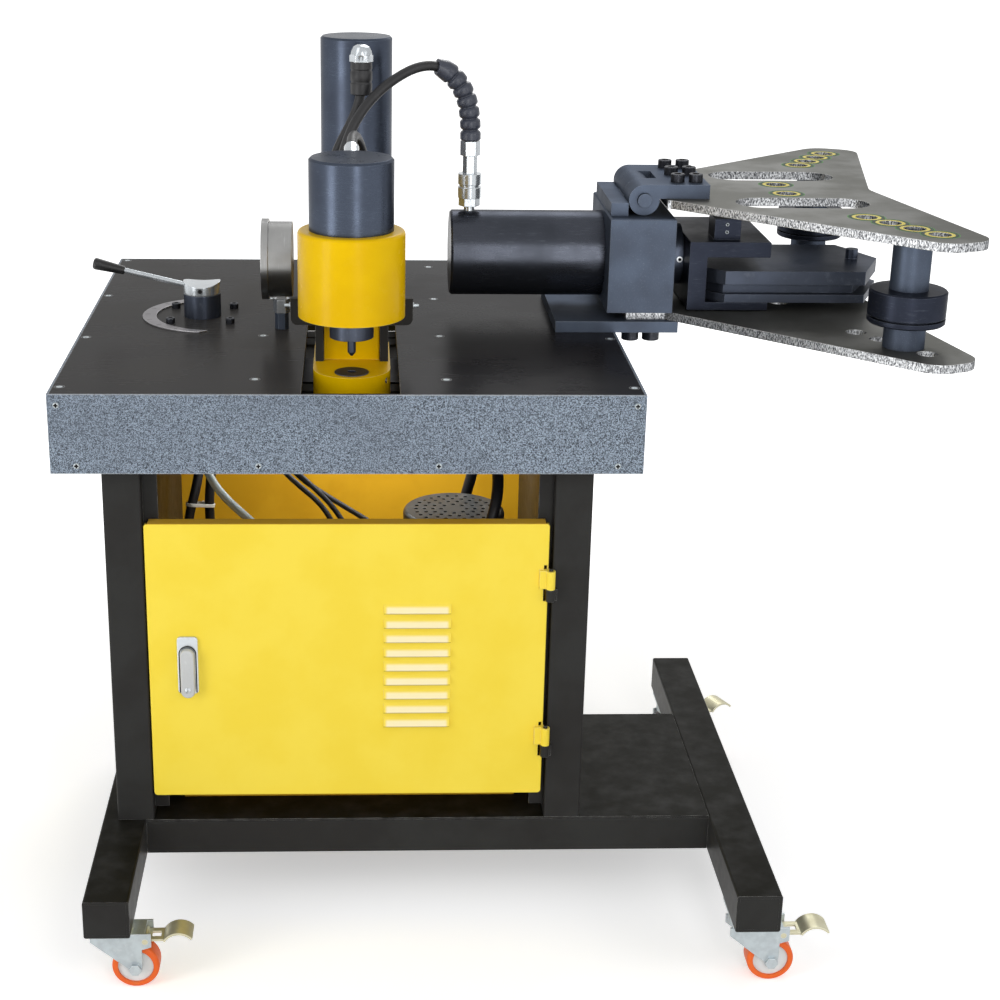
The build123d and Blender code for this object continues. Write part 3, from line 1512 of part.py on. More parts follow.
punch_route = above_table(
    (*punch_union, union_top - table_top),
    (*punch_union, 21.0),
    (30.0, 309.0, 73.0),
    (30.0, 318.0, 131.0),
    (27.0, 323.0, 186.0),
    (22.0, 316.0, 239.0),
    (13.0, 286.0, 279.0),
    (punch_run.X, punch_run.Y, punch_run.Z - table_top),
    (punch_end.X, punch_end.Y, punch_end.Z - table_top),
)
hose_bender, bender_line = hose(bender_route, hose_d, "hose_bender")
hose_cutter, _ = hose(cutter_route, hose_d, "hose_cutter")
hose_punch, _ = hose(punch_route, hose_d, "hose_punch")
finish(hose_bender, "hose_bender")
finish(hose_cutter, "hose_cutter")
finish(hose_punch, "hose_punch")

# Ribbed guard round the last stretch of the bender's hose
with BuildPart() as hose_guard:
    guard_len = 2 * guard_r + guard_ribs * guard_pitch
    line_len = bender_line.length
    steps = [(0, guard_neck_r), (guard_r, guard_neck_r)]
    for rib in range(guard_ribs):
        rib_start = guard_r + rib * guard_pitch
        steps += [
            (rib_start + 0.15 * guard_pitch, guard_neck_r),
            (rib_start + 0.35 * guard_pitch, guard_r),
            (rib_start + 0.75 * guard_pitch, guard_r),
            (rib_start + 0.95 * guard_pitch, guard_neck_r),
        ]
    steps.append((guard_len, guard_neck_r))
    for bore in (False, True):
        for along, radius in steps:
            share = 1 - along / line_len
            spot = bender_line @ share
            way = bender_line % share
            with BuildSketch(Plane(spot, x_dir=(0, 1, 0), z_dir=way * -1)):
                Circle(guard_bore_r if bore else radius)
        loft(ruled=True, mode=Mode.SUBTRACT if bore else Mode.ADD)
finish(hose_guard, "hose_guard")

# Lines inside the cabinet: each height is a share of the way from the tank's lid to the table's top
valve_share = (plate_bottom - valve_h - lid_top) / (table_top - lid_top)
rear_face = leg_back - panel_t


def line(width, label, *spots):
    """One line inside the cabinet."""
    route = [(x, y, lid_top + share * (table_top - lid_top)) for x, y, share in spots]
    tube, path = hose(route, width, label)
    return tube.part


# Suction line and return line from the valve down to the tank
suction_line = line(
    line_d,
    "suction_line",
    (-215.0, 375.0, valve_share),
    (-215.0, 375.0, 0.721),
    (-217.0, 340.0, 0.608),
    (-222.0, 305.0, 0.495),
    (-238.0, 292.0, 0.372),
    (-236.0, 283.0, 0.236),
    (-215.0, 272.0, 0.097),
    (-215.0, 272.0, 0),
)
return_line = line(
    line_d,
    "return_line",
    (-188.0, 372.0, valve_share),
    (-188.0, 372.0, 0.714),
    (-198.0, 338.0, 0.597),
    (-206.0, 314.0, 0.480),
    (-207.0, 308.0, 0.349),
    (-195.0, 303.0, 0.214),
    (-185.0, 300.0, 0.101),
    (-185.0, 300.0, 0),
)

# Clear drain hose
drain_line = line(
    drain_d,
    "drain_line",
    (-238.0, 392.0, valve_share),
    (-238.0, 392.0, 0.759),
    (-235.0, 378.0, 0.709),
    (-231.0, 352.0, 0.673),
    (-225.0, 322.0, 0.637),
    (-216.0, 297.0, 0.592),
    (-204.0, 283.0, 0.538),
    (-190.0, 278.0, 0.489),
    (-167.0, 276.0, 0.432),
    (-140.0, 276.0, 0.376),
    (-110.0, 274.0, 0.304),
    (-92.0, 272.0, 0.214),
    (-88.0, 270.0, 0.113),
    (-88.0, 270.0, 0),
)

# Three cables from the rear panel, two of them to the motor's terminal box
cable_first = line(
    cable_d,
    "cable_first",
    (-180.0, rear_face, 0.687),
    (-180.0, 510.0, 0.687),
    (-168.0, 445.0, 0.673),
    (-145.0, 375.0, 0.637),
    (-118.0, 318.0, 0.592),
    (-94.0, 286.0, 0.543),
    (-70.0, 279.0, 0.498),
    (-43.0, 275.0, 0.446),
    (-24.0, 266.0, 0.385),
    (-12.0, 246.0, 0.313),
    (0.0, 218.0, 0.250),
    (22.0, 204.0, 0.218),
    (terminal_x, 204.0, 0.218),
)
cable_second = line(
    cable_d,
    "cable_second",
    (-165.0, rear_face, 0.687),
    (-165.0, 510.0, 0.687),
    (-154.0, 445.0, 0.673),
    (-132.0, 375.0, 0.640),
    (-105.0, 322.0, 0.597),
    (-81.0, 293.0, 0.550),
    (-57.0, 285.0, 0.502),
    (-31.0, 283.0, 0.446),
    (-10.0, 277.0, 0.383),
    (4.0, 260.0, 0.322),
    (18.0, 238.0, 0.277),
    (terminal_x - 20.0, 228.0, 0.264),
    (terminal_x, 228.0, 0.264),
)
cable_third = line(
    cable_d,
    "cable_third",
    (-150.0, rear_face, 0.687),
    (-150.0, 512.0, 0.687),
    (-141.0, 450.0, 0.664),
    (-122.0, 385.0, 0.615),
    (-98.0, 332.0, 0.561),
    (-74.0, 306.0, 0.511),
    (-40.0, 299.0, 0.462),
    (7.0, 296.0, 0.396),
    (34.0, 292.0, 0.360),
    (54.0, 286.0, 0.304),
    (62.0, 281.0, 0.214),
    (62.0, 280.0, 0.101),
    (62.0, 280.0, 0),
)

# Two hoses from the manifold, one each side of the motor
feed_line = line(
    feed_d,
    "feed_line",
    (manifold_right, 310.0, 0.822),
    (133.0, 310.0, 0.822),
    (160.0, 310.0, 0.795),
    (179.0, 310.0, 0.739),
    (187.0, 310.0, 0.660),
    (184.0, 310.0, 0.570),
    (174.0, 312.0, 0.473),
    (162.0, 314.0, 0.372),
    (153.0, 315.0, 0.264),
    (148.0, 315.0, 0.158),
    (146.0, 315.0, 0.068),
    (146.0, 315.0, 0),
)
back_line = line(
    feed_d,
    "back_line",
    (manifold_right, 285.0, 0.811),
    (138.0, 285.0, 0.811),
    (172.0, 282.0, 0.777),
    (192.0, 270.0, 0.714),
    (202.0, 240.0, 0.664),
    (208.0, 195.0, 0.624),
    (206.0, 158.0, 0.588),
    (200.0, 135.0, 0.534),
    (188.0, 122.0, 0.462),
    (174.0, 115.0, 0.372),
    (166.0, 112.0, 0.270),
    (162.0, 110.0, 0.169),
    (160.0, 110.0, 0.079),
    (160.0, 110.0, 0),
)
with BuildPart() as cabinet_lines:
    add(suction_line)
    add(return_line)
    add(drain_line)
    add(cable_first)
    add(cable_second)
    add(cable_third)
    add(feed_line)
    add(back_line)
finish(cabinet_lines, "cabinet_lines")

# Casters: plate with its king pin, fork with its axle, wheel and brake pedal
axle_z = wheel_d / 2
cheek_in = wheel_w / 2 + cheek_gap
cheek_out = cheek_in + cheek_t
plate_low = caster_h - caster_plate_t
race_low = plate_low - race_t
crown_top = race_low - race_gap
crown_low = crown_top - crown_t
bridge_low = crown_low - bridge_t
front_caster_y = runner_front + caster_inset
rear_caster_y = runner_back - caster_inset
caster_spots = (
    ("front_left", left_runner_x, front_caster_y, 0.0),
    ("front_right", right_runner_x, front_caster_y, 0.0),
    ("rear_left", left_runner_x, rear_caster_y, 0.0),
    ("rear_right", right_runner_x, rear_caster_y, rear_right_heading),
)
with BuildPart(layout) as caster_plates:
    for _, x, y, _ in caster_spots:
        block(
            (x - plate_side / 2, x + plate_side / 2),
            (y - plate_len / 2, y + plate_len / 2),
            (plate_low, caster_h),
        )
        post(x, y, race_low, plate_low, race_r)
        post(x, y, bridge_low - king_nut_t - seat, race_low, king_r)
        post(x, y, bridge_low - king_nut_t - seat, bridge_low - seat, king_nut_r)
finish(caster_plates, "caster_plates")


def make_caster(name, x, y, heading):
    """Fork, wheel and pedal of one caster, trailing towards its heading."""
    centre = layout.from_local_coords(Vector(x, y, 0))
    ahead = (cos(radians(heading)), sin(radians(heading)), 0)
    across = (sin(radians(heading)), -cos(radians(heading)), 0)
    level = Plane(centre, x_dir=ahead, z_dir=(0, 0, 1))
    upright = Plane(centre, x_dir=ahead, z_dir=across)

    with BuildPart(level) as fork:
        post(0, 0, crown_low, crown_top, crown_r)
        block((-king_nut_r - bridge_t, pedal_pivot_x), (-cheek_out, cheek_out), (bridge_low, crown_low))
        with BuildSketch(upright.offset(cheek_in), upright.offset(-cheek_out)):
            Polygon(
                (-crown_r, crown_low),
                (-crown_r, crown_low - fork_shoulder),
                (caster_trail - fork_tip_r, axle_z),
                (caster_trail + fork_tip_r, axle_z),
                (caster_trail + fork_tip_r, pedal_pivot_z - 3 * pedal_pivot_r),
                (pedal_pivot_x + 2 * pedal_pivot_r, pedal_pivot_z - 2 * pedal_pivot_r),
                (pedal_pivot_x + 2 * pedal_pivot_r, crown_low),
                align=None,
            )
            with Locations((caster_trail, axle_z)):
                Circle(fork_tip_r)
                Circle(axle_r + seat, mode=Mode.SUBTRACT)
            with Locations((pedal_pivot_x, pedal_pivot_z)):
                Circle(pedal_pivot_r + fit, mode=Mode.SUBTRACT)
        extrude(amount=cheek_t)
        post(0, 0, bridge_low, crown_top, king_r + fit, mode=Mode.SUBTRACT)
        with BuildSketch(upright.offset(-cheek_out - axle_head_t)):
            with Locations((caster_trail, axle_z)):
                Circle(axle_r)
        extrude(amount=2 * (cheek_out + axle_head_t))
        with BuildSketch(upright.offset(cheek_out + seat), upright.offset(-cheek_out - axle_head_t)):
            with Locations((caster_trail, axle_z)):
                RegularPolygon(axle_head_r, 6)
        extrude(amount=axle_head_t - seat)
    finish(fork, f"caster_fork_{name}")

    with BuildPart(level) as wheel:
        with BuildSketch(upright.offset(-wheel_w / 2)):
            with Locations((caster_trail, axle_z)):
                Circle(wheel_d / 2)
        extrude(amount=wheel_w)
        fillet(wheel.edges().filter_by(GeomType.CIRCLE), radius=tyre_t / 2)
        hub_r = wheel_d / 2 - tyre_t
        with BuildSketch(upright.offset(-wheel_w / 2)):
            with Locations((caster_trail, axle_z)):
                Circle(hub_r + seat)
        extrude(amount=wheel_w, mode=Mode.SUBTRACT)
        with BuildSketch(upright.offset(-wheel_w / 2 + hub_face_in)):
            with Locations((caster_trail, axle_z)):
                Circle(hub_r)
                Circle(axle_r + fit, mode=Mode.SUBTRACT)
        extrude(amount=wheel_w - 2 * hub_face_in)
    finish(wheel, f"caster_wheel_{name}")

    with BuildPart(level) as pedal:
        with BuildSketch(upright.offset(-cheek_out)):
            with Locations((pedal_pivot_x, pedal_pivot_z)):
                Circle(pedal_pivot_r)
        extrude(amount=2 * cheek_out)
        arm_half = cheek_in - cheek_gap
        arm_z = (pedal_pivot_z - pedal_t / 2, pedal_pivot_z + pedal_t / 2)
        tread_mid = (pedal_pivot_x + tread_out, pedal_pivot_z - tread_drop)
        arm_end = tread_mid[0] + (tread_r - pedal_t / 2) * cos(radians(tread_to))
        block((pedal_pivot_x, arm_end), (-arm_half, arm_half), arm_z)
        window_mid = (pedal_pivot_x + pedal_pivot_r + arm_end) / 2
        block(
            (window_mid - pedal_window / 2, window_mid + pedal_window / 2),
            (-pedal_window / 2, pedal_window / 2),
            arm_z,
            mode=Mode.SUBTRACT,
        )
        with BuildSketch(upright.offset(-pedal_w / 2)):
            with BuildLine():
                crest = CenterArc(tread_mid, tread_r, tread_from, tread_to - tread_from)
                hollow = CenterArc(tread_mid, tread_r - pedal_t, tread_from, tread_to - tread_from)
                Line(crest @ 0, hollow @ 0)
                Line(crest @ 1, hollow @ 1)
            make_face()
        extrude(amount=pedal_w)
    finish(pedal, f"caster_pedal_{name}")


for caster_name, caster_x, caster_y, caster_heading in caster_spots:
    make_caster(caster_name, caster_x, caster_y, caster_heading)
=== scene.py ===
# %% [markdown]
# A busbar processing machine: a wheeled table with a punch, a cutter and a hinged bender. The solids come
# packed from the CAD side as a fixed frame of named nodes, already in place and in metres. Blender adds
# what solids can't show: hoses that hang, screw heads with recesses, dial marks, and a finish for each part.

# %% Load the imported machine
from math import cos, hypot, pi, radians, sin

import bmesh
import bpy
from mathutils import Matrix, Vector


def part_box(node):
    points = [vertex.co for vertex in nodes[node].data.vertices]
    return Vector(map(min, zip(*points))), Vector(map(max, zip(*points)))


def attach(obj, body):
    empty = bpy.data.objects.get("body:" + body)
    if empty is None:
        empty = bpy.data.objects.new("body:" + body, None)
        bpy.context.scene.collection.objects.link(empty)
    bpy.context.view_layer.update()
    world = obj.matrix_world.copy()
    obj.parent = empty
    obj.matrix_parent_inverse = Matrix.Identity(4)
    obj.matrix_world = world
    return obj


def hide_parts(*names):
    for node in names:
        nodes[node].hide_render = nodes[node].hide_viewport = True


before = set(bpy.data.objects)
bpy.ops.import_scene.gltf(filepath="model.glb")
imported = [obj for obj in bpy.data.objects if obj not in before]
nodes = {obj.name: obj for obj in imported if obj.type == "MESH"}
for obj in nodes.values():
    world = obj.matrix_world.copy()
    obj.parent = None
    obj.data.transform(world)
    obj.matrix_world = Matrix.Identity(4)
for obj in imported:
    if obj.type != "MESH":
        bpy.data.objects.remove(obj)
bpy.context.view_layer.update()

# %% [markdown]
# The machine was measured in millimetres from the middle of the table's front edge, on the floor. One small
# function turns such a measure into the frame's metres, so that every number below can be read off the
# machine with a rule.

# %% Measures on the machine
TABLE_X = -224.0
FRONT_Y = -313.0
TABLE_TOP = 779.0
BEND_Y = 428.0


def spot(x, y, z):
    """Millimetres on the machine, turned into metres in the shared frame."""
    return Vector((x + TABLE_X, y + FRONT_Y, z)) / 1000


def new_object(name, data):
    """An object that shows some data, linked to the scene."""
    made = bpy.data.objects.new(name, data)
    bpy.context.scene.collection.objects.link(made)
    return made


print("table's front edge is at", tuple(round(v, 3) for v in spot(0, 0, TABLE_TOP)))

# %% [markdown]
# The camera stands where the photographer stood: in front, a little above the table, looking down by about
# twenty degrees. A camera can be aimed with a Track To constraint, but a matrix made from yaw, pitch and
# roll keeps the slight tilt that a hand-held picture has.

# %% Camera
CAMERA_AT = Vector((-0.21093, -2.57589, 1.45215))
YAW, PITCH, ROLL = radians(2.553), radians(19.784), radians(0.847)
FOCAL_LENGTH, SENSOR_WIDTH, SHIFT_X = 66.737, 36.0, 0.06325

right = Vector((cos(YAW), -sin(YAW), 0))
ahead = Vector((sin(YAW) * cos(PITCH), cos(YAW) * cos(PITCH), -sin(PITCH)))
up = right.cross(ahead)
tilted_right = cos(ROLL) * right + sin(ROLL) * up
tilted_up = cos(ROLL) * up - sin(ROLL) * right
aim = Matrix((tilted_right, tilted_up, -ahead)).transposed().to_4x4()
lens = bpy.data.cameras.new("camera")
lens.lens = FOCAL_LENGTH
lens.sensor_width = SENSOR_WIDTH
lens.shift_x = SHIFT_X
camera = new_object("camera", lens)
camera.matrix_world = Matrix.Translation(CAMERA_AT) @ aim
bpy.context.scene.camera = camera
print("camera looks", [round(v, 3) for v in ahead])

# %% [markdown]
# A hose is one bendy length, so it is drawn as one NURBS spline: the route's points pull the line towards
# them without kinks, as a hose's own stiffness does. The radius of its points gives it its thickness, by which
# the bevel's depth of 1 is multiplied. Each hose stands for the plain tube of the CAD model.

# %% Hose helper
def hose_curve(name, route, width):
    """Curve object along a route given in the machine's millimetres."""
    curve = bpy.data.curves.new(name, "CURVE")
    curve.dimensions = "3D"
    spline = curve.splines.new("NURBS")
    spline.points.add(len(route) - 1)
    for point, place in zip(spline.points, route):
        point.co = (*spot(*place), 1)
        point.radius = width / 2000
    spline.order_u = 3
    spline.use_endpoint_u = True
    spline.resolution_u = 10
    curve.bevel_depth = 1.0 if width else 0.0
    curve.bevel_resolution = 5
    return new_object(name, curve)


def line_of(route):
    """Points along a route's own spline, read from a copy of the curve with no bevel."""
    bare = hose_curve("route_reader", route, 0)
    bpy.context.view_layer.update()
    mesh = bpy.data.meshes.new_from_object(bare)
    points = [vertex.co.copy() for vertex in mesh.vertices]
    bpy.data.objects.remove(bare)
    return points


HOSE_WIDTH = 14.0
UNION_TOP = 743.0
print("hoses are", HOSE_WIDTH, "mm thick")

# %% [markdown]
# Three pressure hoses rise through the slot in the table, one to each cylinder. They leave their unions
# straight up, lean on each other as they climb, and turn over to meet their fittings square on.

# %% Hoses to the three cylinders
bender_route = [
    (-14, 336, UNION_TOP), (-14, 336, 800), (-19, 333, 868), (-22, 332, 932), (-18, 336, 990),
    (-8, 344, 1035), (8, 358, 1072), (30, 376, 1100), (60, 394, 1124), (97, 412, 1142),
    (131, 424, 1141), (160, 428, 1115), (174, 428, 1075), (174, 428, 1035),
]
cutter_route = [
    (-38, 370, UNION_TOP), (-38, 370, 800), (-42, 369, 860), (-42, 371, 905), (-39, 374, 948),
    (-31, 379, 990), (-16, 388, 1032), (4, 398, 1066), (16.5, 404, 1100), (16.5, 404, 1124),
]
punch_route = [
    (28, 302, UNION_TOP), (28, 302, 800), (30, 309, 852), (30, 318, 910), (27, 323, 965),
    (22, 316, 1018), (13, 286, 1058), (3.5, 238.3, 1072.7), (3.5, 191.9, 1060.3),
]
pressure_hoses = []
for name, route, length in (
    ("hose_to_bender", bender_route, 0.618),
    ("hose_to_cutter", cutter_route, 0.395),
    ("hose_to_punch", punch_route, 0.423),
):
    hose = hose_curve(name, route, HOSE_WIDTH)
    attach(hose, "stand")
    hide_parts(name.replace("_to", ""))
    pressure_hoses.append((hose, route, length))
    print(name, "has", len(route), "points")

# %% [markdown]
# Inside the cabinet, seen over the door, hang the suction and return lines of the valve, a clear drain hose,
# three cables that come in through the rear panel, and two feed hoses beside the motor. They all end in the
# machine again, so both ends are square to what they enter.

# %% Lines inside the cabinet
cabinet_routes = {
    "suction_line": (14, 0.394, [
        (-215, 375, 701), (-215, 375, 655), (-217, 340, 605), (-222, 305, 555), (-238, 292, 500),
        (-236, 283, 440), (-215, 272, 378), (-215, 272, 335),
    ]),
    "return_line": (14, 0.383, [
        (-188, 372, 701), (-188, 372, 652), (-198, 338, 600), (-206, 314, 548), (-207, 308, 490),
        (-195, 303, 430), (-185, 300, 380), (-185, 300, 335),
    ]),
    "drain_line": (12, 0.462, [
        (-238, 392, 701), (-238, 392, 672), (-235, 378, 650), (-231, 352, 634), (-225, 322, 618),
        (-216, 297, 598), (-204, 283, 574), (-190, 278, 552), (-167, 276, 527), (-140, 276, 502),
        (-110, 274, 470), (-92, 272, 430), (-88, 270, 385), (-88, 270, 335),
    ]),
    "cable_first": (8, 0.543, [
        (-180, 557, 640), (-180, 510, 640), (-168, 445, 634), (-145, 375, 618), (-118, 318, 598),
        (-94, 286, 576), (-70, 279, 556), (-43, 275, 533), (-24, 266, 506), (-12, 246, 474),
        (0, 218, 446), (22, 204, 432), (56, 204, 432),
    ]),
    "cable_second": (8, 0.504, [
        (-165, 557, 640), (-165, 510, 640), (-154, 445, 634), (-132, 375, 619), (-105, 322, 600),
        (-81, 293, 579), (-57, 285, 558), (-31, 283, 533), (-10, 277, 505), (4, 260, 478),
        (18, 238, 458), (36, 228, 452), (56, 228, 452),
    ]),
    "cable_third": (8, 0.578, [
        (-150, 557, 640), (-150, 512, 640), (-141, 450, 630), (-122, 385, 608), (-98, 332, 584),
        (-74, 306, 562), (-40, 299, 540), (7, 296, 511), (34, 292, 495), (54, 286, 470),
        (62, 281, 430), (62, 280, 380), (62, 280, 335),
    ]),
    "feed_line": (16, 0.420, [
        (105, 310, 700), (133, 310, 700), (160, 310, 688), (179, 310, 663), (187, 310, 628),
        (184, 310, 588), (174, 312, 545), (162, 314, 500), (153, 315, 452), (148, 315, 405),
        (146, 315, 365), (146, 315, 335),
    ]),
    "back_line": (16, 0.510, [
        (105, 285, 695), (138, 285, 695), (172, 282, 680), (192, 270, 652), (202, 240, 630),
        (208, 195, 612), (206, 158, 596), (200, 135, 572), (188, 122, 540), (174, 115, 500),
        (166, 112, 455), (162, 110, 410), (160, 110, 370), (160, 110, 335),
    ]),
}
cabinet_lines = {}
for name, (width, length, route) in cabinet_routes.items():
    tube = hose_curve(name, route, width)
    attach(tube, "stand")
    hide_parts("cabinet_lines")
    spot(*route[0])
    cabinet_lines[name] = tube
print("hung", len(cabinet_lines), "lines in the cabinet")

# %% [markdown]
# Most small pieces here are round: screw heads, rings, ribs. They could be built from Blender's cylinders and
# booleans. A stack of rings is simpler and stays clean: each ring is a radius at a height, and a radius may
# depend on the angle, so that one ring is round and the next is a hexagon or a cross.

# %% Ring stacks
def hexagon(across_flats):
    """Ring shape of a hexagon, as a function of the angle."""
    return lambda a: across_flats / 2 / cos((a % (pi / 3)) - pi / 6)


def cross(arm, width):
    """Ring shape of a cross recess."""
    def reach(a):
        lean = abs((a + pi / 4) % (pi / 2) - pi / 4)
        return min(arm / cos(lean), width / 2 / max(sin(lean), 1e-6))
    return reach


def skin(bm, loops):
    """Join each loop of points to the next one with a band of faces, and give the bands."""
    bands = []
    for low, high in zip(loops, loops[1:]):
        corners = zip(low, low[1:] + low[:1], high[1:] + high[:1], high)
        bands.append([bm.faces.new(four) for four in corners])
    return bands


def ring_stack(bm, rings, place, steps=48, tube=False, finish=0, sunk=0):
    """Skin a stack of (reach, height) rings in millimetres, with a lid on both ends or closed into a tube.

    The walls take the finish of that number, and a last ring sunk into the piece may have one of its own.
    """
    loops = []
    for reach, height in rings:
        loop = []
        for step in range(steps):
            a = 2 * pi * step / steps
            r = reach(a) if callable(reach) else reach
            loop.append(bm.verts.new(place @ (Vector((r * cos(a), r * sin(a), height)) / 1000)))
        loops.append(loop)
    bands = skin(bm, loops + loops[:1] if tube else loops)
    if not tube:
        bands[0].append(bm.faces.new(loops[0][::-1]))
        bands[-1].append(bm.faces.new(loops[-1]))
    for band in bands:
        for face in band:
            face.material_index = sunk if sunk and band is bands[-1] else finish


def ribbon(bm, line, width, place, low, high):
    """A flat strip along a line of (x, y) points, from one height to another, in millimetres."""
    line = [Vector(point) for point in line]
    loops = []
    for index, point in enumerate(line):
        way = (line[min(index + 1, len(line) - 1)] - line[max(index - 1, 0)]).normalized()
        off = Vector((-way.y, way.x)) * width / 2
        corners = [(point - off, low), (point + off, low), (point + off, high), (point - off, high)]
        loops.append([bm.verts.new(place @ (Vector((*flat, height)) / 1000)) for flat, height in corners])
    skin(bm, loops)
    bm.faces.new(loops[0][::-1])
    bm.faces.new(loops[-1])


SHARP_FROM = 35


def add_piece(name, bm, finishes, body):
    """Turn a finished bmesh into a piece that rides on a body."""
    bmesh.ops.recalc_face_normals(bm, faces=bm.faces)
    mesh = bpy.data.meshes.new(name)
    bm.to_mesh(mesh)
    bm.free()
    mesh.shade_smooth()
    mesh.set_sharp_from_angle(angle=radians(SHARP_FROM))
    piece = new_object(name, mesh)
    for finish in finishes:
        mesh.materials.append(finish)
    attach(piece, body)
    print(name, "has", len(mesh.polygons), "faces")
    return piece


def stacked(name, stacks, finishes, body, slot_name, **options):
    """A piece made of ring stacks, each given as its rings and its placement."""
    bm = bmesh.new()
    for rings, place in stacks:
        ring_stack(bm, rings, place, **options)
    return add_piece(name, bm, finishes, body)


def stand_at(x, y, z, tilt=0.0, axis="X"):
    """Placement with its z axis up, or turned about one axis by tilt degrees."""
    return Matrix.Translation(spot(x, y, z)) @ Matrix.Rotation(radians(tilt), 4, axis)


print("ring of a 6 mm hexagon at 0 degrees:", round(hexagon(6)(0), 3))

# %% [markdown]
# A finish is a material made of nodes. Long chains of Math nodes are hard to read, so one small class wraps a
# socket and lets Python's own operators make them. Every other node comes from its one method, which sets the
# node's settings first and then its sockets.

# %% Sums with sockets
class Wire:
    """A socket of a material that can be used in sums."""

    def __init__(self, tree, socket):
        self.tree = tree
        self.socket = socket

    def node(self, kind, settings=None, sockets=None, out=0):
        """Add a node, and give the wire of one of its outputs."""
        made = self.tree.nodes.new(kind)
        for name, value in (settings or {}).items():
            setattr(made, name, value)
        for name, value in (sockets or {}).items():
            if isinstance(value, Wire):
                self.tree.links.new(value.socket, made.inputs[name])
            else:
                made.inputs[name].default_value = value
        return Wire(self.tree, made.outputs[out])

    def sum(self, operation, first, second):
        """A Math node on two values."""
        return self.node("ShaderNodeMath", {"operation": operation}, {0: first, 1: second})

    def __add__(self, other):
        return self.sum("ADD", self, other)

    def __sub__(self, other):
        return self.sum("SUBTRACT", self, other)

    def __rsub__(self, other):
        return self.sum("SUBTRACT", other, self)

    def __mul__(self, other):
        return self.sum("MULTIPLY", self, other)

    __radd__, __rmul__ = __add__, __mul__

    def held(self):
        """The same value, kept between 0 and 1."""
        return self.node("ShaderNodeClamp", {}, {"Value": self})


print("sockets can be added, taken away and multiplied")

# %% [markdown]
# Each finish starts from the same few questions: where on the surface is this point, how grainy is it there,
# and is it near an edge? The Bevel node answers the last one. Its normal leans over at an edge, so its angle to
# the face's own normal is a mask of edges, where paint wears thin and steel is rubbed bright. Colours are
# written as a screen shows them, and become linear where they are mixed.

# %% Building blocks of a finish
def tone(red, green, blue):
    """A colour given as a screen shows it, from 0 to 255, as the linear values that a shader takes."""
    parts = [v / 255 for v in (red, green, blue)]
    return (*(((v + 0.055) / 1.055) ** 2.4 if v > 0.04 else v / 12.92 for v in parts), 1)


def new_finish(name):
    """An empty material: its shader node and the wire of its object coordinates, which ride with the part."""
    material = bpy.data.materials.new(name)
    material.use_nodes = True
    tree = material.node_tree
    place = Wire(tree, tree.nodes.new("ShaderNodeTexCoord").outputs["Object"])
    return material, tree.nodes["Principled BSDF"], place


def axis_of(vector, axis):
    """One coordinate of a vector."""
    return vector.node("ShaderNodeSeparateXYZ", {}, {0: vector}, axis)


def grain(place, scale, detail=3.0, roughness=0.55, distortion=0.0):
    """Cloudy noise, with scale in waves per metre."""
    return place.node("ShaderNodeTexNoise", {}, {
        "Vector": place, "Scale": scale, "Detail": detail, "Roughness": roughness, "Distortion": distortion})


def stretched(place, x, y, z):
    """The same place, stretched for grain that runs one way."""
    return place.node("ShaderNodeVectorMath", {"operation": "MULTIPLY"}, {0: place, 1: (x, y, z)})


def step_up(value, low, high):
    """A mask that rises from 0 at low to 1 at high."""
    return value.node("ShaderNodeMapRange", {"interpolation_type": "SMOOTHSTEP"}, {
        "Value": value, "From Min": low, "From Max": high})


def mixed(mask, first, second):
    """The first colour where the mask is 0, and the second where it is 1. Each is a wire or a screen colour."""
    first, second = (colour if isinstance(colour, Wire) else tone(*colour) for colour in (first, second))
    return mask.node("ShaderNodeMix", {"data_type": "RGBA"}, {0: mask, 6: first, 7: second}, 2)


def facing(place):
    """How far a face looks up when the part is at rest: 1 for a top, 0 for a wall, and -1 for an underside."""
    return axis_of(place.node("ShaderNodeTexCoord", out="Normal"), "Z")


def edges(place, radius):
    """A mask of the edges, and the rounded normal that makes it."""
    rounded = place.node("ShaderNodeBevel", {"samples": 6}, {"Radius": radius})
    normal = place.node("ShaderNodeNewGeometry", out="Normal")
    along = place.node("ShaderNodeVectorMath", {"operation": "DOT_PRODUCT"}, {0: rounded, 1: normal}, "Value")
    return step_up(1 - along, 0.01, 0.16), rounded


def relief(height, depth, normal=None):
    """Bump from a height map, with its depth in metres."""
    sockets = {"Height": height, "Distance": depth}
    if normal:
        sockets["Normal"] = normal
    return height.node("ShaderNodeBump", {}, sockets)


def dress(shader, **sockets):
    """Set the shader's sockets, by their names with _ for a space, to wires or to fixed values."""
    for name, value in sockets.items():
        socket = shader.inputs[name.replace("_", " ")]
        if isinstance(value, Wire):
            value.tree.links.new(value.socket, socket)
        else:
            socket.default_value = value


LEMON = (244, 218, 72)
print("lemon as the shader takes it:", [round(v, 3) for v in tone(*LEMON)])
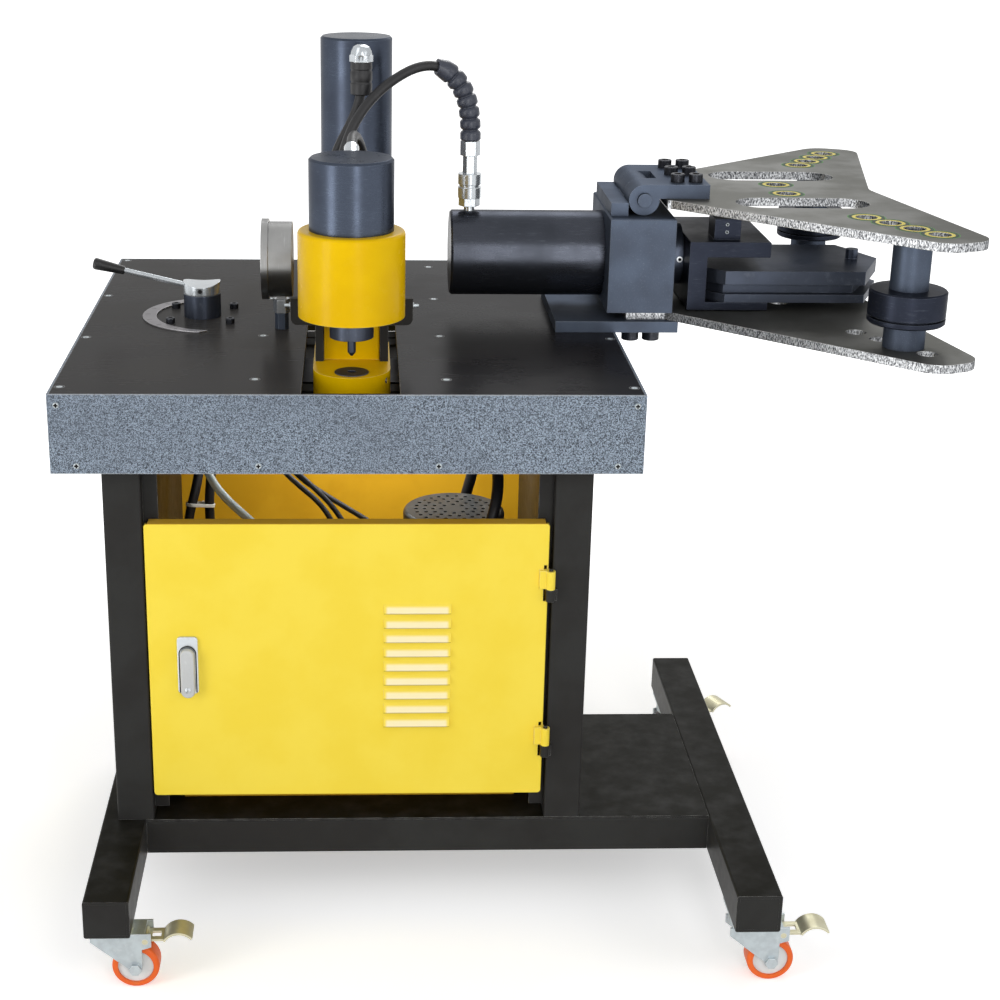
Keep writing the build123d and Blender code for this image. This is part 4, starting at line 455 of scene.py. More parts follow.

# %% [markdown]
# The stand is brushed and sprayed with cheap black enamel, the sheet metal with lemon yellow, and the punch's
# casting with a thicker golden coat. All are the same recipe: a cloudy tone, a fine orange-peel ripple, edges
# where the coat is thin, and dust on what faces up. The motor, the gauge's dial and the bands round the wing's
# holes share it. On the black enamel the top tone is darker than the coat, so there it is a painted shade of the
# tops.

# %% Paints
def paint(name, base, cloudy, worn, dust_and_top_shade_tone,
          rough=(0.3, 0.45), ripple=0.00006, shine=0.4, dust_and_top_shade_amount=0.7, coat=0.0):
    """Enamel in two cloudy tones, with worn edges, and a top tone: dirt on most coats, painted shade on black
    ones.
    """
    material, shader, place = new_finish(name)
    glossy, dull = rough
    cloud = step_up(grain(place, 11, 4), 0.35, 0.65)
    peel = grain(place, 380, 2)
    rub, rounded = edges(place, 0.0014)
    thin = (rub * step_up(grain(place, 60, 4), 0.3, 0.62)).held()
    # dust on what faces up for most coats; on the black enamel this top tone is painted shade
    dust_and_top_shade = (step_up(facing(place), 0.7, 0.98) * grain(place, 26, 5) * dust_and_top_shade_amount).held()
    colour = mixed(cloud, base, cloudy)
    colour = mixed(dust_and_top_shade, colour, dust_and_top_shade_tone)
    colour = mixed(thin, colour, worn)
    dress(shader, Base_Color=colour, Roughness=glossy + (dull - glossy) * grain(place, 70, 4) + dust_and_top_shade * 0.15,
          Normal=relief(peel, ripple, rounded), Specular_IOR_Level=shine, Coat_Weight=coat)
    return material


POLISHED, SMOOTH = 0.00001, 0.00002
# painted shade: the black enamel's dark top tone (20, 19, 13) darkens what faces up
black_enamel = paint("black_enamel", (50, 50, 49), (45, 44, 43), (128, 128, 125), (20, 19, 13),
                     shine=0.06, dust_and_top_shade_amount=1.7)
lemon_enamel = paint("lemon_enamel", LEMON, (241, 213, 62), (250, 236, 160), (240, 220, 104),
                     rough=(0.36, 0.5), shine=0.25)
golden_enamel = paint("golden_enamel", (234, 190, 0), (226, 180, 0), (246, 224, 120), (222, 180, 20),
                      rough=(0.2, 0.32), ripple=0.00018, shine=0.08, coat=0.03)
shaded_yellow = paint("shaded_yellow", (222, 170, 36), (210, 158, 30), (236, 200, 90), (206, 170, 80),
                      rough=(0.4, 0.55), shine=0.2)
motor_paint = paint("motor_paint", (112, 118, 124), (102, 107, 112), (170, 174, 176), (130, 130, 126),
                    ripple=0.0002)
dial_enamel = paint("dial_enamel", (238, 238, 233), (232, 232, 226), (214, 214, 208), (226, 224, 214),
                    ripple=POLISHED)
needle_enamel = paint("needle_enamel", (38, 38, 40), (46, 44, 44), (96, 94, 92), (60, 58, 54), ripple=POLISHED)
BAND = {"ripple": SMOOTH, "dust_and_top_shade_amount": 0.2}
row_green = paint("row_green", (24, 52, 36), (34, 60, 42), (70, 90, 70), (40, 60, 44), shine=0.03, **BAND)
row_lime = paint("row_lime", (84, 150, 66), (74, 136, 58), (120, 150, 90), (80, 130, 70), shine=0.03, **BAND)
row_yellow = paint("row_yellow", (238, 222, 92), (226, 206, 76), (190, 180, 120), (226, 212, 120),
                   shine=0.05, **BAND)
print("mixed", len(bpy.data.materials), "paints")

# %% [markdown]
# The door breathes through a ladder of pressed hoods. Light catches each slope and leaves the lip in shade,
# and both are painted into the enamel: a painted highlight down the slope and painted shade at the lip. The
# fraction of the height, counted in louvres, says where on its hood a point is.

# %% Enamel of the louvres
LOUVRE_TOP, LOUVRE_PITCH = 0.4795, 0.021
LOUVRE_FROM, LOUVRE_TO = 46.5, 136.5
HOOD_END = (0.001, 0.006)
louvre_enamel, shader, place = new_finish("louvre_enamel")
x, z = axis_of(place, "X"), axis_of(place, "Z")
down = place.node("ShaderNodeMath", {"operation": "FRACT"}, {0: (LOUVRE_TOP - z) * (1 / LOUVRE_PITCH)})
left_end = step_up(x - spot(LOUVRE_FROM, 0, 0).x, *HOOD_END)
right_end = step_up(spot(LOUVRE_TO, 0, 0).x - x, *HOOD_END)
# painted highlight down each hood's slope, and painted shade at its lip
slope_highlight = step_up(down, 0.08, 0.3) * left_end * right_end
lip_shade = step_up(down, 0.53, 0.56)
cloud = grain(place, 60, 4)
colour = mixed(slope_highlight * (0.8 + 0.2 * cloud), LEMON, (250, 238, 196))
colour = mixed(lip_shade * 0.6, colour, (128, 104, 28))
dress(shader, Base_Color=colour, Roughness=0.36 + 0.14 * cloud, Normal=relief(grain(place, 380, 2), 0.00006),
      Specular_IOR_Level=0.25)
print("a louvre is", LOUVRE_PITCH, "m below the next")

# %% [markdown]
# The apron under the table has a hammered enamel, a coat that draws itself into small islands with dark lines
# between them. Where a cloudy noise passes through its middle value it draws such winding lines. The table's
# own plates are smoother, a satin charcoal with long rub marks, and the right one is painted darker as the
# shade that the bender casts on it.

# %% Table finishes
hammered, shader, place = new_finish("hammered")
swell = grain(place, 380, 2, distortion=0.5) - 0.5
ridge = place.node("ShaderNodeMath", {"operation": "ABSOLUTE"}, {0: swell})
valley = 1 - step_up(ridge, 0.0, 0.1)
patchy = step_up(grain(place, 7, 3), 0.35, 0.65)
front = 1 - step_up(axis_of(place, "Y"), FRONT_Y / 1000 + 0.001, FRONT_Y / 1000 + 0.004)
rub, rounded = edges(place, 0.0018)
colour = mixed(valley, (153, 167, 183), (10, 13, 20))
colour = mixed(patchy * 0.35, colour, (96, 104, 116))
# painted highlight: the pale line along the front's top edges is partly wear and partly a painted highlight
colour = mixed(rub * front, colour, (206, 211, 216))
dress(shader, Base_Color=colour, Roughness=0.3 + 0.2 * valley, Normal=relief(ridge, 0.0006, rounded),
      Specular_IOR_Level=0.2)


def satin(name, base, cloudy, shine):
    """Charcoal satin with rub marks along the table."""
    material, shader, place = new_finish(name)
    rubbed = grain(stretched(place, 8, 260, 30), 1, 5)
    smear = step_up(grain(place, 6, 5), 0.35, 0.7)
    rub, rounded = edges(place, 0.0016)
    colour = mixed(smear, base, cloudy)
    colour = mixed(step_up(rubbed, 0.6, 0.8) * 0.3, colour, (72, 71, 70))
    colour = mixed(rub, colour, (170, 172, 174))
    dress(shader, Base_Color=colour, Roughness=0.2 + 0.1 * smear + 0.08 * rubbed,
          Normal=relief(rubbed, 0.00003, rounded), Specular_IOR_Level=shine)
    return material


table_satin = satin("table_satin", (59, 58, 58), (68, 67, 66), 0.01)
# painted shade: the right plate's satin is darker for the bender's shadow on it
table_shade = satin("table_shade", (30, 29, 31), (36, 35, 36), 0.02)
print("ready:", hammered.name, table_satin.name, table_shade.name)

# %% [markdown]
# Steel is left bare, blued or plated, so most of its tone is its reflection. Bare steel is fully metallic. An
# oxide coat or a plating scatters a share of the light, so it is less so. Turned cylinders keep faint streaks
# from the lathe, ground plates a fine scratch, and zinc a soft spangle: the stretch of the grain says which way
# the tool ran. A screw in a sliding rod lies flush, so the ram's is drawn in its finish, its socket in painted
# shade.

# %% Steels
def steel(name, base, cloudy, bright, rough, lay, blotch=14, graze=1.0, metal=1.0, plug=None):
    """Metal whose grain is stretched by lay, in waves per metre along x, y and z.

    Graze dulls it when seen flat. A plug is the place of a flush screw: a bright rim round a painted-shade
    socket.
    """
    material, shader, place = new_finish(name)
    streak = grain(stretched(place, *lay), 1, 4, 0.65)
    cloud = step_up(grain(place, blotch, 5), 0.32, 0.68)
    rub, rounded = edges(place, 0.0012)
    colour = mixed(cloud, base, cloudy)
    colour = mixed(step_up(streak, 0.55, 0.8) * 0.35, colour, bright)
    colour = mixed(rub * 0.7, colour, bright)
    if plug:
        off = place.node("ShaderNodeVectorMath", {"operation": "DISTANCE"}, {0: place, 1: plug}, "Value")
        # painted shade: the socket is a near-black disc where a hex socket's hollow would be dark
        socket = 1 - step_up(off, 0.0022, 0.0026)
        rim = (1 - step_up(off, 0.0042, 0.0046)) * (1 - socket)
        colour = mixed(rim, mixed(socket, colour, (18, 18, 20)), (214, 217, 220))
    dress(shader, Base_Color=colour, Metallic=metal, Roughness=rough + 0.16 * (streak - 0.5) + 0.08 * cloud,
          Normal=relief(streak, 0.00002, rounded), Specular_Tint=(graze, graze, graze, 1),
          Specular_IOR_Level=0.1)
    return material


RAM_SCREW = spot(480.5, BEND_Y - 45, 872)
TOOL = ((75, 81, 94), (68, 73, 84), (118, 124, 134), 0.3, (60, 500, 60))
blued_upright = steel("blued_upright", (68, 75, 88), (61, 67, 79), (108, 119, 134), 0.26, (90, 90, 700),
                      graze=0.6, metal=0.8)
blued_lying = steel("blued_lying", (68, 71, 79), (60, 63, 70), (108, 114, 122), 0.26, (40, 260, 260),
                    graze=0.4, metal=0.75)
black_oxide = steel("black_oxide", (80, 89, 104), (73, 80, 93), (138, 146, 156), 0.42, (600, 600, 600),
                    graze=0.3, metal=0.65)
holder_steel = steel("holder_steel", (44, 48, 59), (38, 41, 51), (98, 104, 114), 0.3, (60, 60, 500),
                     graze=0.4, metal=0.6)
screw_black = steel("screw_black", (58, 60, 65), (50, 51, 56), (140, 143, 148), 0.3, (300, 300, 300),
                    graze=0.6, metal=0.8)
tool_steel = steel("tool_steel", *TOOL, graze=0.4, metal=0.75)
ram_steel = steel("ram_steel", *TOOL, graze=0.4, metal=0.75, plug=RAM_SCREW)
zinc = steel("zinc", (190, 199, 203), (178, 186, 190), (228, 231, 232), 0.34, (120, 120, 120),
             blotch=90, graze=0.8, metal=0.7)
yellow_zinc = steel("yellow_zinc", (210, 206, 178), (198, 193, 164), (232, 229, 212), 0.34, (90, 90, 300),
                    blotch=60, graze=0.7, metal=0.65)
stainless = steel("stainless", (160, 160, 159), (148, 148, 147), (204, 205, 206), 0.28, (800, 40, 40),
                  graze=0.7)
dial_steel = steel("dial_steel", (164, 162, 164), (148, 146, 148), (204, 204, 206), 0.36, (300, 300, 300),
                   graze=0.5)
chrome = steel("chrome", (190, 195, 199), (178, 183, 187), (236, 237, 238), 0.18, (60, 60, 60), metal=0.75)
pale_cowl = steel("pale_cowl", (92, 94, 94), (80, 82, 82), (150, 152, 152), 0.36, (40, 40, 400), metal=0.8)
print("steels are ready, from", blued_upright.name, "to", pale_cowl.name)

# %% [markdown]
# The wings are cut from thick plate. Their faces keep stains and scratches, and their walls the drag of the
# cut, a fine grain through the plate. A wall is told by its normal at rest, so a lifted wing keeps its grain.

# %% Cut plate
flame_cut, shader, place = new_finish("flame_cut")
scratch = grain(stretched(place, 30, 420, 30), 1, 5, 0.7)
stain = step_up(grain(place, 9, 5), 0.38, 0.66)
drag = grain(stretched(place, 700, 700, 280), 1, 4, 0.65)
level = facing(place)
wall = 1 - step_up(level * level, 0.2, 0.6)
rub, rounded = edges(place, 0.0009)
colour = mixed(stain, (134, 134, 132), (116, 116, 113))
colour = mixed(step_up(scratch, 0.55, 0.75) * 0.35, colour, (168, 168, 165))
colour = mixed(wall, colour, mixed(step_up(drag, 0.4, 0.62), (74, 75, 78), (206, 208, 210)))
colour = mixed(rub * 0.7, colour, (214, 214, 210))
dress(shader, Base_Color=colour, Metallic=1.0, Roughness=0.4 + 0.1 * scratch - 0.06 * wall,
      Normal=relief(scratch + 6 * wall * drag, 0.00003, rounded), Specular_Tint=(0.3, 0.3, 0.3, 1))
print(flame_cut.name, "has", len(flame_cut.node_tree.nodes), "nodes")

# %% [markdown]
# What is left is rubber, plastic and glass. Hoses show the weave of the cloth they were cured in, tyres a
# scuffed tread, and the grip a moulded gloss. Glass and the clear hose let light through, so they are set by
# transmission.

# %% Rubber, plastic and glass
def moulded(name, base, cloudy, scuffed, rough, weave=900, depth=0.00005, shine=0.4):
    """Rubber or plastic in two cloudy tones, with scuffs, rubbed edges and a fine weave."""
    material, shader, place = new_finish(name)
    cloth = grain(place, weave, 2)
    cloud = step_up(grain(place, 20, 4), 0.35, 0.65)
    rubbed = step_up(grain(place, 75, 5), 0.58, 0.75)
    rub, rounded = edges(place, 0.001)
    colour = mixed(cloud, base, cloudy)
    colour = mixed((rubbed * 0.4 + rub * 0.5).held(), colour, scuffed)
    dress(shader, Base_Color=colour, Roughness=rough + 0.2 * (cloth - 0.5) + 0.1 * rubbed,
          Normal=relief(cloth, depth, rounded), Specular_IOR_Level=shine)
    return material


def clear(name, haze_scale, first, second, rough, weight, ior):
    """Glass or clear plastic with a faint haze, rougher where it is hazy."""
    material, shader, place = new_finish(name)
    haze = grain(place, haze_scale, 4)
    glossy, dull = rough
    dress(shader, Base_Color=mixed(haze, first, second), Roughness=glossy + (dull - glossy) * haze,
          Transmission_Weight=weight, IOR=ior)
    return material


hose_rubber = moulded("hose_rubber", (27, 27, 29), (34, 34, 36), (62, 62, 64), 0.46)
guard_plastic = moulded("guard_plastic", (56, 60, 72), (66, 70, 82), (110, 114, 124), 0.34)
grip_plastic = moulded("grip_plastic", (22, 22, 23), (28, 28, 29), (70, 70, 72), 0.3, depth=SMOOTH)
orange_tyre = moulded("orange_tyre", (240, 104, 30), (232, 96, 24), (214, 120, 66), 0.42, weave=500)
hub_plastic = moulded("hub_plastic", (232, 236, 236), (222, 226, 226), (240, 242, 242), 0.36, depth=SMOOTH)
lock_plastic = moulded("lock_plastic", (196, 198, 198), (188, 190, 190), (224, 226, 226), 0.3, depth=POLISHED)
tie_nylon = moulded("tie_nylon", (228, 228, 222), (218, 218, 210), (240, 240, 236), 0.36, depth=POLISHED)
# painted shade: near-black for the floors of recesses, grooves and slits, where shade falls
painted_hole_shade = moulded("painted_hole_shade", (14, 14, 15), (19, 19, 20), (40, 40, 42), 0.5, depth=SMOOTH, shine=0.2)
lens_glass = clear("lens_glass", 60, (250, 252, 251), (238, 242, 240), (0.01, 0.05), 1.0, 1.45)
clear_hose = clear("clear_hose", 40, (206, 218, 218), (186, 200, 200), (0.12, 0.24), 0.3, 1.35)
print(len(bpy.data.materials), "materials in all")

# %% [markdown]
# Hoses first: the pressure hoses and the cabinet's lines take their rubber. The bend guard is a row of plastic
# ribs threaded on the bender's hose, so it must follow that hose's own line. Its rings stand square to the
# line, and the hose goes through it.

# %% Hose finishes and the bend guard
for name, tube in cabinet_lines.items():
    tube.data.materials.append(clear_hose if name == "drain_line" else hose_rubber)

GUARD_FROM, GUARD_TO = 1.0, 126.0
GUARD_BEADS, BEAD_PITCH, GUARD_SIDES = 6, 16.5, 32
BEAD_R, NECK_R, GUARD_BORE = 15.0, 11.4, 7.4
BORE_RINGS, BORE_PITCH = 20, 6.25


def walk(points, length):
    """Place and direction at a length, in millimetres, along a line of points."""
    gone = 0.0
    for start, end in zip(points, points[1:]):
        stretch = (end - start).length * 1000
        if gone + stretch >= length:
            break
        gone += stretch
    way = (end - start).normalized()
    return start + way * (length - gone) / 1000, way


profile = [(GUARD_BORE, GUARD_FROM), (BEAD_R - 1.5, GUARD_FROM), (BEAD_R, GUARD_FROM + 1.5)]
for bead in range(GUARD_BEADS):
    low = GUARD_FROM + bead * BEAD_PITCH
    profile += [(BEAD_R, low + 10.0), (BEAD_R - 0.9, low + 12.0), (NECK_R, low + 14.2), (NECK_R, low + 15.0),
                (BEAD_R - 0.9, low + 17.2), (BEAD_R, low + 19.2)]
profile += [(BEAD_R - 0.4, GUARD_TO - 13.0), (NECK_R, GUARD_TO)]
profile += [(GUARD_BORE, GUARD_TO - BORE_PITCH * ring) for ring in range(BORE_RINGS)]
hose_line = line_of(bender_route)[::-1]
turns = [2 * pi * step / GUARD_SIDES for step in range(GUARD_SIDES)]
side = Vector((0, 1, 0))
bm = bmesh.new()
loops = []
for reach, length in profile:
    centre, way = walk(hose_line, length)
    across = (side - way * side.dot(way)).normalized()
    over = way.cross(across)
    loops.append([bm.verts.new(centre + (across * cos(a) + over * sin(a)) * reach / 1000) for a in turns])
skin(bm, loops + loops[:1])
guard = add_piece("bend_guard", bm, [guard_plastic], "stand")
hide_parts("hose_guard")
for hose, route, length in pressure_hoses:
    hose.data.materials.append(hose_rubber)
    spot(*route[0])

# %% [markdown]
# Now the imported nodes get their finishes. Most parts have one. A few were painted, plated and pressed from more
# than one stock, such as the door with its plated lock plate, so faces can also be picked by where they are on
# the machine.

# %% Finishes on the nodes
def coat(finish, names):
    """Give whole nodes one finish."""
    for name in names:
        mesh = nodes[name].data
        mesh.materials.clear()
        mesh.materials.append(finish)
        mesh.polygons.foreach_set("material_index", [0] * len(mesh.polygons))


def coat_faces(finish, name, inside):
    """Give a node's faces another finish where their middle, in the machine's millimetres, is inside."""
    mesh = nodes[name].data
    mesh.materials.append(finish)
    index = len(mesh.materials) - 1
    count = 0
    for face in mesh.polygons:
        x, y, z = face.center * 1000
        if inside(x - TABLE_X, y - FRONT_Y, z):
            face.material_index = index
            count += 1
    print(name, "has", count, "faces in", finish.name)


CASTERS = ("front_left", "front_right", "rear_left", "rear_right")
for finish, kind in ((zinc, "fork"), (yellow_zinc, "pedal"), (orange_tyre, "wheel")):
    coat(finish, [f"caster_{kind}_{corner}" for corner in CASTERS])
for finish, names in (
    (black_enamel, "base_frame legs table_frame punch_yoke"),
    (table_satin, "table_plates"),
    (hammered, "apron_panels"),
    (lemon_enamel, "front_door"),
    (shaded_yellow, "cabinet_panels oil_tank"),
    (golden_enamel, "punch_frame cutter_frame"),
    (blued_upright, "punch_cylinder cutter_cylinder"),
    (blued_lying, "bender_cylinder"),
    (holder_steel, "bender_holder roller_front roller_rear"),
    (black_oxide, "bender_block bender_base bend_pins hinge_base hinge_leaf"),
    (tool_steel, "selector_valve bender_punch punch_ram punch_die cutter_ram"),
    (ram_steel, "bender_ram"),
    (flame_cut, "wing_upper wing_lower"),
    (zinc, "table_screws caster_plates"),
    (chrome, "hose_fittings selector_lever"),
    (stainless, "gauge_case"),
    (lens_glass, "gauge_lens"),
    (needle_enamel, "gauge_needle"),
    (grip_plastic, "lever_grip"),
    (lock_plastic, "lock_handle"),
    (motor_paint, "pump_motor"),
    (hose_rubber, "hose_bender hose_cutter hose_punch hose_guard cabinet_lines"),
    (screw_black, "cap_screws wing_bolts hose_manifold"),
):
    coat(finish, names.split())
print("coated", len(nodes), "nodes")

# %% [markdown]
# Here the parts of mixed stock are sorted out. The numbers are the same measures that the CAD model was drawn
# with, so a face is told by its place: inside the lock plate, above the motor's body, or near enough to a
# wheel's axle to be its hub. The rear right caster stands turned, and its axle with it.

# %% Nodes of mixed stock
LOCK_X, LOCK_Z = -217.5, 391.7
GAUGE_Y, GAUGE_Z = 337, 880
VALVE_X, VALVE_Y = -216.5, 409.5
ELBOW_X, ELBOW_Y = 16.5, 404
coat_faces(chrome, "front_door", lambda x, y, z: y < 26.95 and abs(x - LOCK_X) < 14 and abs(z - LOCK_Z) < 42)
coat_faces(louvre_enamel, "front_door",
           lambda x, y, z: y < 26.9 and LOUVRE_FROM - 0.5 < x < LOUVRE_TO + 0.5 and 290 < z < 480)
coat_faces(shaded_yellow, "front_door", lambda x, y, z: z > 593.5)
coat_faces(zinc, "lock_handle", lambda x, y, z: y > 21)
# painted shade on the right plate
coat_faces(table_shade, "table_plates", lambda x, y, z: x > 0)
coat_faces(black_enamel, "apron_panels", lambda x, y, z: abs(x) < 379.5 and 2.5 < y < 790.5)
coat_faces(black_enamel, "cabinet_panels", lambda x, y, z: y < 66.5 or 269.5 < abs(x) < 270.5)
coat_faces(lemon_enamel, "cabinet_panels", lambda x, y, z: abs(x) > 271.5 or y > 558.5)
coat_faces(dial_enamel, "gauge_case",
           lambda x, y, z: -106.2 < x < -104.3 and hypot(y - GAUGE_Y, z - GAUGE_Z) < 50.05)
coat_faces(black_oxide, "gauge_case", lambda x, y, z: z < 803.2)
coat_faces(chrome, "gauge_case", lambda x, y, z: 803.2 <= z < 824)
coat_faces(dial_steel, "selector_valve",
           lambda x, y, z: 778.9 < z < 782 and hypot(x - VALVE_X, y - VALVE_Y) > 28)
coat_faces(hose_rubber, "hose_fittings",
           lambda x, y, z: 1123 < z < 1154 and hypot(x - ELBOW_X, y - ELBOW_Y) < 13)
coat_faces(pale_cowl, "pump_motor", lambda x, y, z: z > 494.8)

HUB_R = 0.0232
REAR_RIGHT_TURN = 25
for corner in CASTERS:
    low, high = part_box("caster_wheel_" + corner)
    middle = (low + high) / 2
    turn = Matrix.Rotation(radians(REAR_RIGHT_TURN if corner == "rear_right" else 0), 3, "Z")
    axle = turn @ Vector((0, 1, 0))
    mesh = nodes["caster_wheel_" + corner].data
    mesh.materials.append(hub_plastic)
    for face in mesh.polygons:
        off = face.center - middle
        if (off - axle * off.dot(axle)).length < HUB_R:
            face.material_index = 1

# %% [markdown]
# The imported screws are plain posts. Real ones are known by their recess: a cross in the table's countersunk
# screws and in the apron's pan heads, a hexagon in the socket screws of the valve, the bender and the hinge.
# The last ring of the pan heads' and socket screws' recesses is painted near-black as their shade.
# Each kind is one stack of rings, set down wherever that screw sits, and it takes the place of the plain node.
# The table was painted with its screws in, so paint rims their heads, and only the middle is bare zinc.

# %% Screws
COUNTERSUNK = [(3, -10), (3, -4), (4.4, -2.4), (4.4, 0), (cross(3, 1.5), 0), (cross(2.4, 1.1), -1.8)]
PAINTED_RIM = [(4.5, -2.3), (7, 0), (4.5, 0)]
PAN_HEAD = [(2, -1.5), (2, 0), (4, 0), (4, 1.2), (3.6, 2.2), (3, 2.5),
            (cross(2.9, 2.4), 2.5), (cross(2.3, 1.8), 0.5)]


def socket_screw(shank, depth, head, height, flats):
    """Rings of a socket screw: its shank, its head, and the hexagon sunk in the head."""
    return [(shank, -depth), (shank, 0), (head, 0), (head, height - 0.8), (head - 0.8, height),
            (hexagon(flats), height), (hexagon(flats), height / 2)]


table_screws = [(x, y) for x in (-370, 370) for y in (35, 283, 531, 779)]
table_screws += [(x, y) for x in (-122.5, 127.5) for y in (72, 295, 518, 741)]
apron_screws = [(-370, 765), (370, 765)] + [(x, 684) for x in (-348, -116, 116, 348)]
bm = bmesh.new()
for x, y in table_screws:
    ring_stack(bm, COUNTERSUNK, stand_at(x, y, TABLE_TOP))
    # rims on the right plate take its painted shade
    ring_stack(bm, PAINTED_RIM, stand_at(x, y, TABLE_TOP), tube=True, finish=1 if x < 0 else 2)
for x, z in apron_screws:
    ring_stack(bm, PAN_HEAD, stand_at(x, 0, z, 90), sunk=3)
heads = add_piece("table_screw_heads", bm, [zinc, table_satin, table_shade, painted_hole_shade], "stand")
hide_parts("table_screws")

small, large = socket_screw(4, 30, 6.5, 8, 6), socket_screw(8, 53, 12.5, 16, 14)
screws = [(small, stand_at(VALVE_X + dx, VALVE_Y + dy, TABLE_TOP)) for dx in (-43, 43) for dy in (-45, 45)]
screws += [(large, stand_at(x, BEND_Y + dy, TABLE_TOP, 180)) for x in (407, 437) for dy in (-84, 84)]
heads = stacked("cap_screw_heads", screws, [screw_black, painted_hole_shade], "stand", "blued_steel", sunk=1)
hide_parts("cap_screws")

LEAF_TOP = 988
bolt = socket_screw(6, 32, 10, 12, 10)
bolts = [(bolt, stand_at(x, BEND_Y + dy, LEAF_TOP)) for x in (468, 494) for dy in (-60, 0, 60)]
heads = stacked("wing_bolt_heads", bolts, [screw_black, painted_hole_shade], "wing", "blued_steel", sunk=1)
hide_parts("wing_bolts")

# %% [markdown]
# Each hole of the upper wing is ringed with yellow on a green band, so that the same pair of holes is easy to
# find on both wings. Paint is thin but it is still a solid coat, so the rings are flat tubes about a tenth of a
# millimetre high. Bands that overlap differ a little in height. They ride on the wing.

# %% Painted hole rows
WING_TOP, HOLE_R = 968, 14
row_holes = [(704 + 22.5 * step, 210 + 38 * step) for step in range(4)] + [(632, 36.5)]
lime, green, yellow = bmesh.new(), bmesh.new(), bmesh.new()
for index, (x, half) in enumerate(row_holes):
    for side in (-1, 1):
        place = stand_at(x, BEND_Y + side * half, WING_TOP)
        odd = index % 2
        for bm, inner, outer, high in (
            (lime, 23, 26.2, 0.03 + 0.01 * odd),
            (green, HOLE_R + 0.3, 24.6, 0.06 + 0.02 * odd),
            (yellow, 15, 20, 0.14),
        ):
            ring_stack(bm, [(inner, 0), (inner, high), (outer, high), (outer, 0)], place, tube=True)
add_piece("hole_row_outline", lime, [row_lime], "wing")
add_piece("hole_row_green", green, [row_green], "wing")
add_piece("hole_row_yellow", yellow, [row_yellow], "wing")

# %% [markdown]
# The gauge looks to the left, where the operator stands at the lever. Its scale is printed: a fine arc, a
# stroke for every two units, a long stroke and a number for every ten. Blender's text objects make the digits,
# which are then turned into thin solids of the same piece. The selector's crescent has plain strokes.

# %% Gauge scale and selector marks
def number(bm, text, place, height):
    """Digits of a dial as thin solids."""
    curve = bpy.data.curves.new("digits", "FONT")
    curve.body = text
    curve.size = height / 1000
    curve.extrude = 0.00004
    curve.align_x, curve.align_y = "CENTER", "CENTER"
    holder = new_object("digits", curve)
    bpy.context.view_layer.update()
    mesh = bpy.data.meshes.new_from_object(holder)
    mesh.transform(place)
    bm.from_mesh(mesh)
    bpy.data.objects.remove(holder)


def spoke(a, start, end):
    """A straight line that points away from the middle of a dial."""
    return [(r * cos(a), r * sin(a)) for r in (start, end)]


LOOK_LEFT = Matrix(((0, 0, -1), (-1, 0, 0), (0, 1, 0))).to_4x4()
dial_face = Matrix.Translation(spot(-106, GAUGE_Y, GAUGE_Z)) @ LOOK_LEFT
SCALE_R, SCALE_FROM, SCALE_STEP, STROKES = 45, 225, 9, 31
NUMBER_R, NUMBER_HEIGHT = 31, 8
INK = (0.02, 0.1)
bm = bmesh.new()
for step in range(STROKES):
    a = radians(SCALE_FROM - SCALE_STEP * step)
    long = step % 5 == 0
    ribbon(bm, spoke(a, SCALE_R, SCALE_R - (7 if long else 4)), 1.0 if long else 0.5, dial_face, *INK)
    if long:
        middle = Vector((NUMBER_R * cos(a), NUMBER_R * sin(a), 0.08)) / 1000
        number(bm, str(2 * step), dial_face @ Matrix.Translation(middle), NUMBER_HEIGHT)
arc = [radians(SCALE_FROM - 3 * step) for step in range(91)]
ribbon(bm, [(SCALE_R * cos(a), SCALE_R * sin(a)) for a in arc], 0.5, dial_face, *INK)
add_piece("gauge_scale", bm, [needle_enamel], "stand")

crescent = stand_at(-200, VALVE_Y, TABLE_TOP + 2)
bm = bmesh.new()
for angle in range(140, 241, 20):
    ribbon(bm, spoke(radians(angle), 93, 101), 1.2, crescent, 0.0, 0.08)
add_piece("selector_marks", bm, [needle_enamel], "stand")

# %% [markdown]
# Small hardware finishes the joints: a grub screw in the lever's hub and two in the clamp block on the bender's
# holder, the elbow nut and the crimped sleeve of the cutter's hose, pins through the ears beside the punch,
# nuts under the caster plates, and the lock's groove and key slit, drawn as thin strips of painted shade.

# %% Small hardware
def grub(x, y, z, r, flats, out=1.2):
    """Rings and placement of a socket grub screw that looks to the front."""
    rings = [(r, -1.5), (r, out - 0.4), (r - 0.4, out), (hexagon(flats), out), (hexagon(flats), 0.2)]
    return rings, stand_at(x, y, z, 90)


hub_screw = grub(VALVE_X - 1, VALVE_Y - 27, 821, 3.4, 3.6, 0.8)
stacked("hub_grub_screw", [hub_screw], [grip_plastic, painted_hole_shade], "lever", "blued_steel", sunk=1)
clamp_screws = [grub(541, 352, z, 2.6, 2.8) for z in (930, 919)]
stacked("clamp_grub_screws", clamp_screws, [zinc, painted_hole_shade], "bender", "bright_steel", sunk=1)

elbow = stand_at(ELBOW_X, ELBOW_Y, 0)
shell = [(hexagon(29), 1148), (hexagon(29), 1157), (15.4, 1158), (14.6, 1163), (11.8, 1168.5), (6, 1171.5)]
stacked("cutter_elbow_shell", [(shell, elbow)], [chrome], "stand", "bright_steel")
sleeve = [(12.2, 1102), (15.2, 1103.5), (15.6, 1118), (14.6, 1119.5), (14.6, 1121), (15.6, 1122.5),
          (15.6, 1134), (14.6, 1135.5), (14.6, 1137), (15.6, 1138.5), (15.2, 1147.9), (12.2, 1147.9)]
stacked("cutter_crimp_sleeve", [(sleeve, elbow)], [hose_rubber], "stand", "hose_rubber", tube=True)

